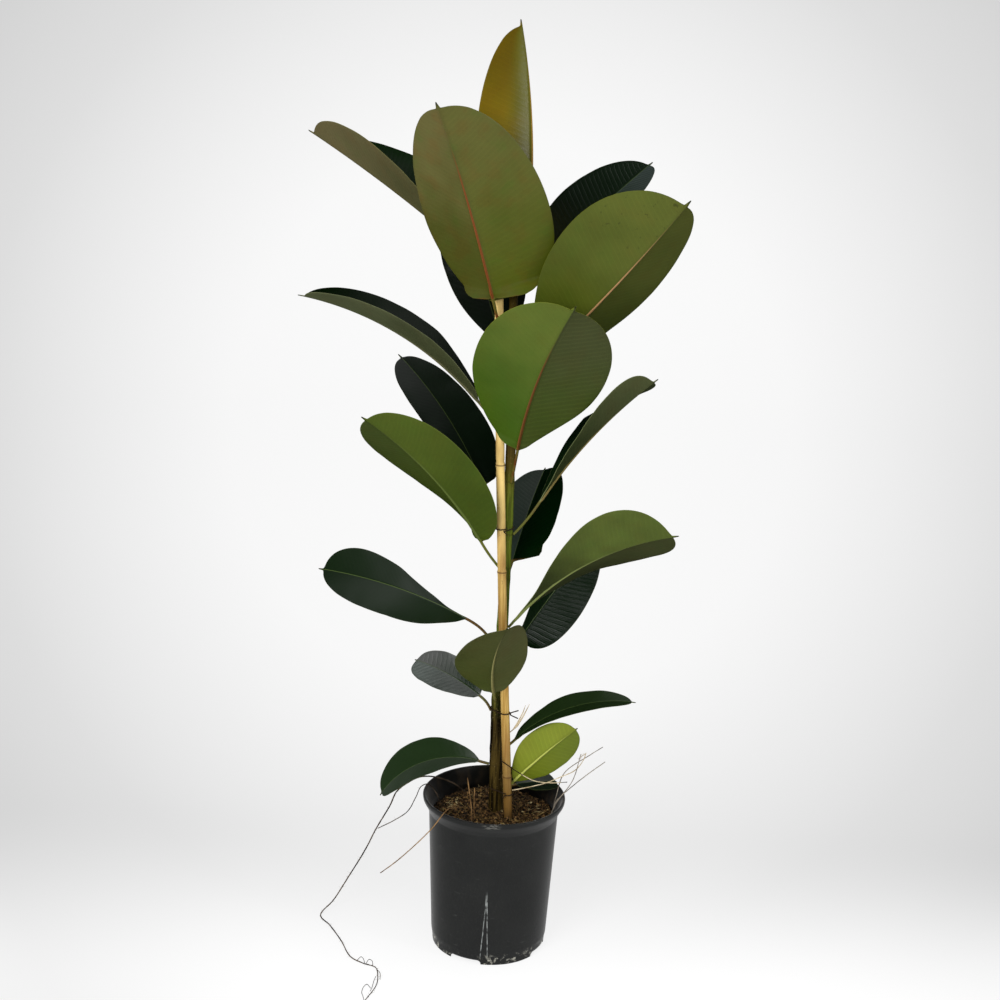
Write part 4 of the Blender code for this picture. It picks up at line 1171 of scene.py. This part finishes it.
for name, slot, look, thick, thin, points in STRANDS:
    radii = np.linspace(thick, thin, len(points))
    line = [(*point, radius) for point, radius in zip(points, radii)]
    skin = strand_skins[look]
    relief = thick * 0.9
    parts = [rod_piece(name + "_strand", line, skin, step=0.0016, sides=8, relief=relief, fineness=420)]
    if name in HAIRS:
        parts.append(hairs_on(name + "_hairs", line, 0.0016, HAIRS[name], look))
    if name == "trailing_root":
        for number, rootlet in enumerate(ROOTLETS, 1):
            thread = [(*point, ROOTLET_RADIUS) for point in rootlet]
            parts.append(rod_piece(
                f"rootlet_{number}", thread, skin, step=0.0008, sides=6, relief=0.0003, fineness=700))
    if name == "pale_straw":
        parts.append(hairs_on("fluff", FLUFF, 0.0004, FLUFF_HAIRS, look))
        for number, strip in enumerate(SHEATHS, 1):
            parts.append(sheath_sheet(f"sheath_{number}", strip, skin))
    stand_for(joined(name + "_strand", parts), slot, name)

# Studio: a round pale floor whose edge curves up into a pale wall on every side. Floor and wall glow with
# painted light, brightest in a pool about the camera's line of sight, as if a lamp stood beside the camera,
# and darker away from it and, on the floor, to the left. A narrow window lamp stands at the right and soft
# lamps above and in front.
FLOOR_RADIUS = 3.4
WALL_BEND = 1.2
WALL_TOP = 5.2
STUDIO_TURNS = 96
CAMERA_PLACE = (0.003, -2.21, 1.232)
CAMERA_TURNS = ((0.32, "Z"), (74.5, "X"), (2.5, "Z"))
CAMERA_LENS = 64.8
CAMERA_SENSOR = 36
BEAM_TARGET = (0.0, 0.0, 0.715)
FLOOR_DROP = 0.0004

sweep = [(0.0, 0.0), (0.5, 0.0), (1.5, 0.0)]
for angle in np.linspace(0, math.pi / 2, 17):
    sweep.append((FLOOR_RADIUS + WALL_BEND * math.sin(angle), WALL_BEND * (1 - math.cos(angle))))
sweep.append((FLOOR_RADIUS + WALL_BEND, WALL_TOP))
rim = [(FLOOR_RADIUS + WALL_BEND + 0.02, WALL_TOP), (FLOOR_RADIUS + WALL_BEND + 0.02, -0.02), (0.0, -0.02)]
backdrop_mesh = lathe("backdrop", sweep + rim, np.linspace(0, 360, STUDIO_TURNS, endpoint=False))
backdrop_mesh.transform(Matrix.Translation((0, 0, -FLOOR_DROP)))
shade_smooth(backdrop_mesh)
backdrop_finish, shader, place = new_finish("pale_backdrop", 0.0)
across, depth = place.axes()[:2]
ray = place.maths("NORMALIZE", place - CAMERA_PLACE)
axis = tuple((Vector(BEAM_TARGET) - Vector(CAMERA_PLACE)).normalized())
off_axis = 1 - ray.add("ShaderNodeVectorMath", {"operation": "DOT_PRODUCT"}, {0: ray, 1: axis}, "Value")


def greys(factor, *stops):
    """A grey that runs through stops of (place, level)."""
    ramp = [(stop, (level,) * 3) for stop, level in stops]
    return factor.add("ShaderNodeValToRGB", {"stops": ramp}, {0: factor})


# Painted light on the glowing wall and floor: a pool round the camera's line of sight, fading off it.
painted_wall_light = greys(off_axis * 15, (0.0, 1.0), (0.18, 0.97), (0.40, 0.86), (0.62, 0.75), (1.0, 0.64))
painted_floor_light = greys(off_axis * 9 + between(across, -0.1, -0.7) * 0.4, (0.0, 1.08), (0.5, 1.05), (1.0, 0.90))
reach = (across * across + depth * depth) ** 0.5
by_plant = between(reach, 3.0, 1.5)
before = between(depth, 0.36, -0.2) * by_plant + between(depth, 2.4, -2.4) * (1 - by_plant)
tone = mixed(before, painted_wall_light, painted_floor_light)
backdrop_finish.node_tree.links.new((tone * 0.2).socket, shader.inputs["Base Color"])
backdrop_finish.node_tree.links.new(tone.socket, shader.inputs["Emission Color"])
shader.inputs["Roughness"].default_value = 0.9
shader.inputs["Emission Strength"].default_value = 0.82
backdrop = add_object("backdrop", backdrop_mesh, backdrop_finish)
backdrop.visible_glossy = False


def soft_lamp(name, place, target, size, power, glossy=True, diffuse=True):
    """A rectangular lamp at a place that faces a target and can be left out of gloss or of matt surfaces."""
    lamp = bpy.data.lights.new(name, "AREA")
    lamp.shape = "RECTANGLE"
    lamp.size, lamp.size_y = size
    lamp.energy = power
    made = bpy.data.objects.new(name, lamp)
    made.location = place
    made.rotation_euler = (Vector(target) - Vector(place)).to_track_quat("-Z", "Y").to_euler()
    made.visible_glossy = glossy
    made.visible_diffuse = diffuse
    made.visible_camera = False
    bpy.context.scene.collection.objects.link(made)


soft_lamp("window_lamp", (2.5, -1.4, 1.3), (0, 0, 0.7), (0.45, 1.3), 14)
soft_lamp("top_lamp", (1.0, 1.1, 3.3), (0, 0, 0.6), (1.7, 1.7), 10)
soft_lamp("sheen_lamp", (1.3, 1.5, 3.1), (0, 0, 0.6), (2.4, 2.4), 8, True, False)
soft_lamp("front_lamp", (-1.4, -2.8, 1.9), (0, 0, 0.6), (1.6, 1.6), 62, False)
world = bpy.data.worlds.new("studio_air")
world.use_nodes = True
world.node_tree.nodes["Background"].inputs["Color"].default_value = (1, 1, 1, 1)
world.node_tree.nodes["Background"].inputs["Strength"].default_value = 0.35
world.cycles_visibility.glossy = False
bpy.context.scene.world = world
bpy.context.scene.view_settings.view_transform = "Standard"

camera = bpy.data.cameras.new("camera")
camera.sensor_width = CAMERA_SENSOR
camera.lens = CAMERA_LENS
camera_holder = bpy.data.objects.new("camera", camera)
aim = Matrix.Translation(CAMERA_PLACE)
for degrees, about in CAMERA_TURNS:
    aim = aim @ Matrix.Rotation(math.radians(degrees), 4, about)
camera_holder.matrix_world = aim
bpy.context.scene.collection.objects.link(camera_holder)
bpy.context.scene.camera = camera_holder
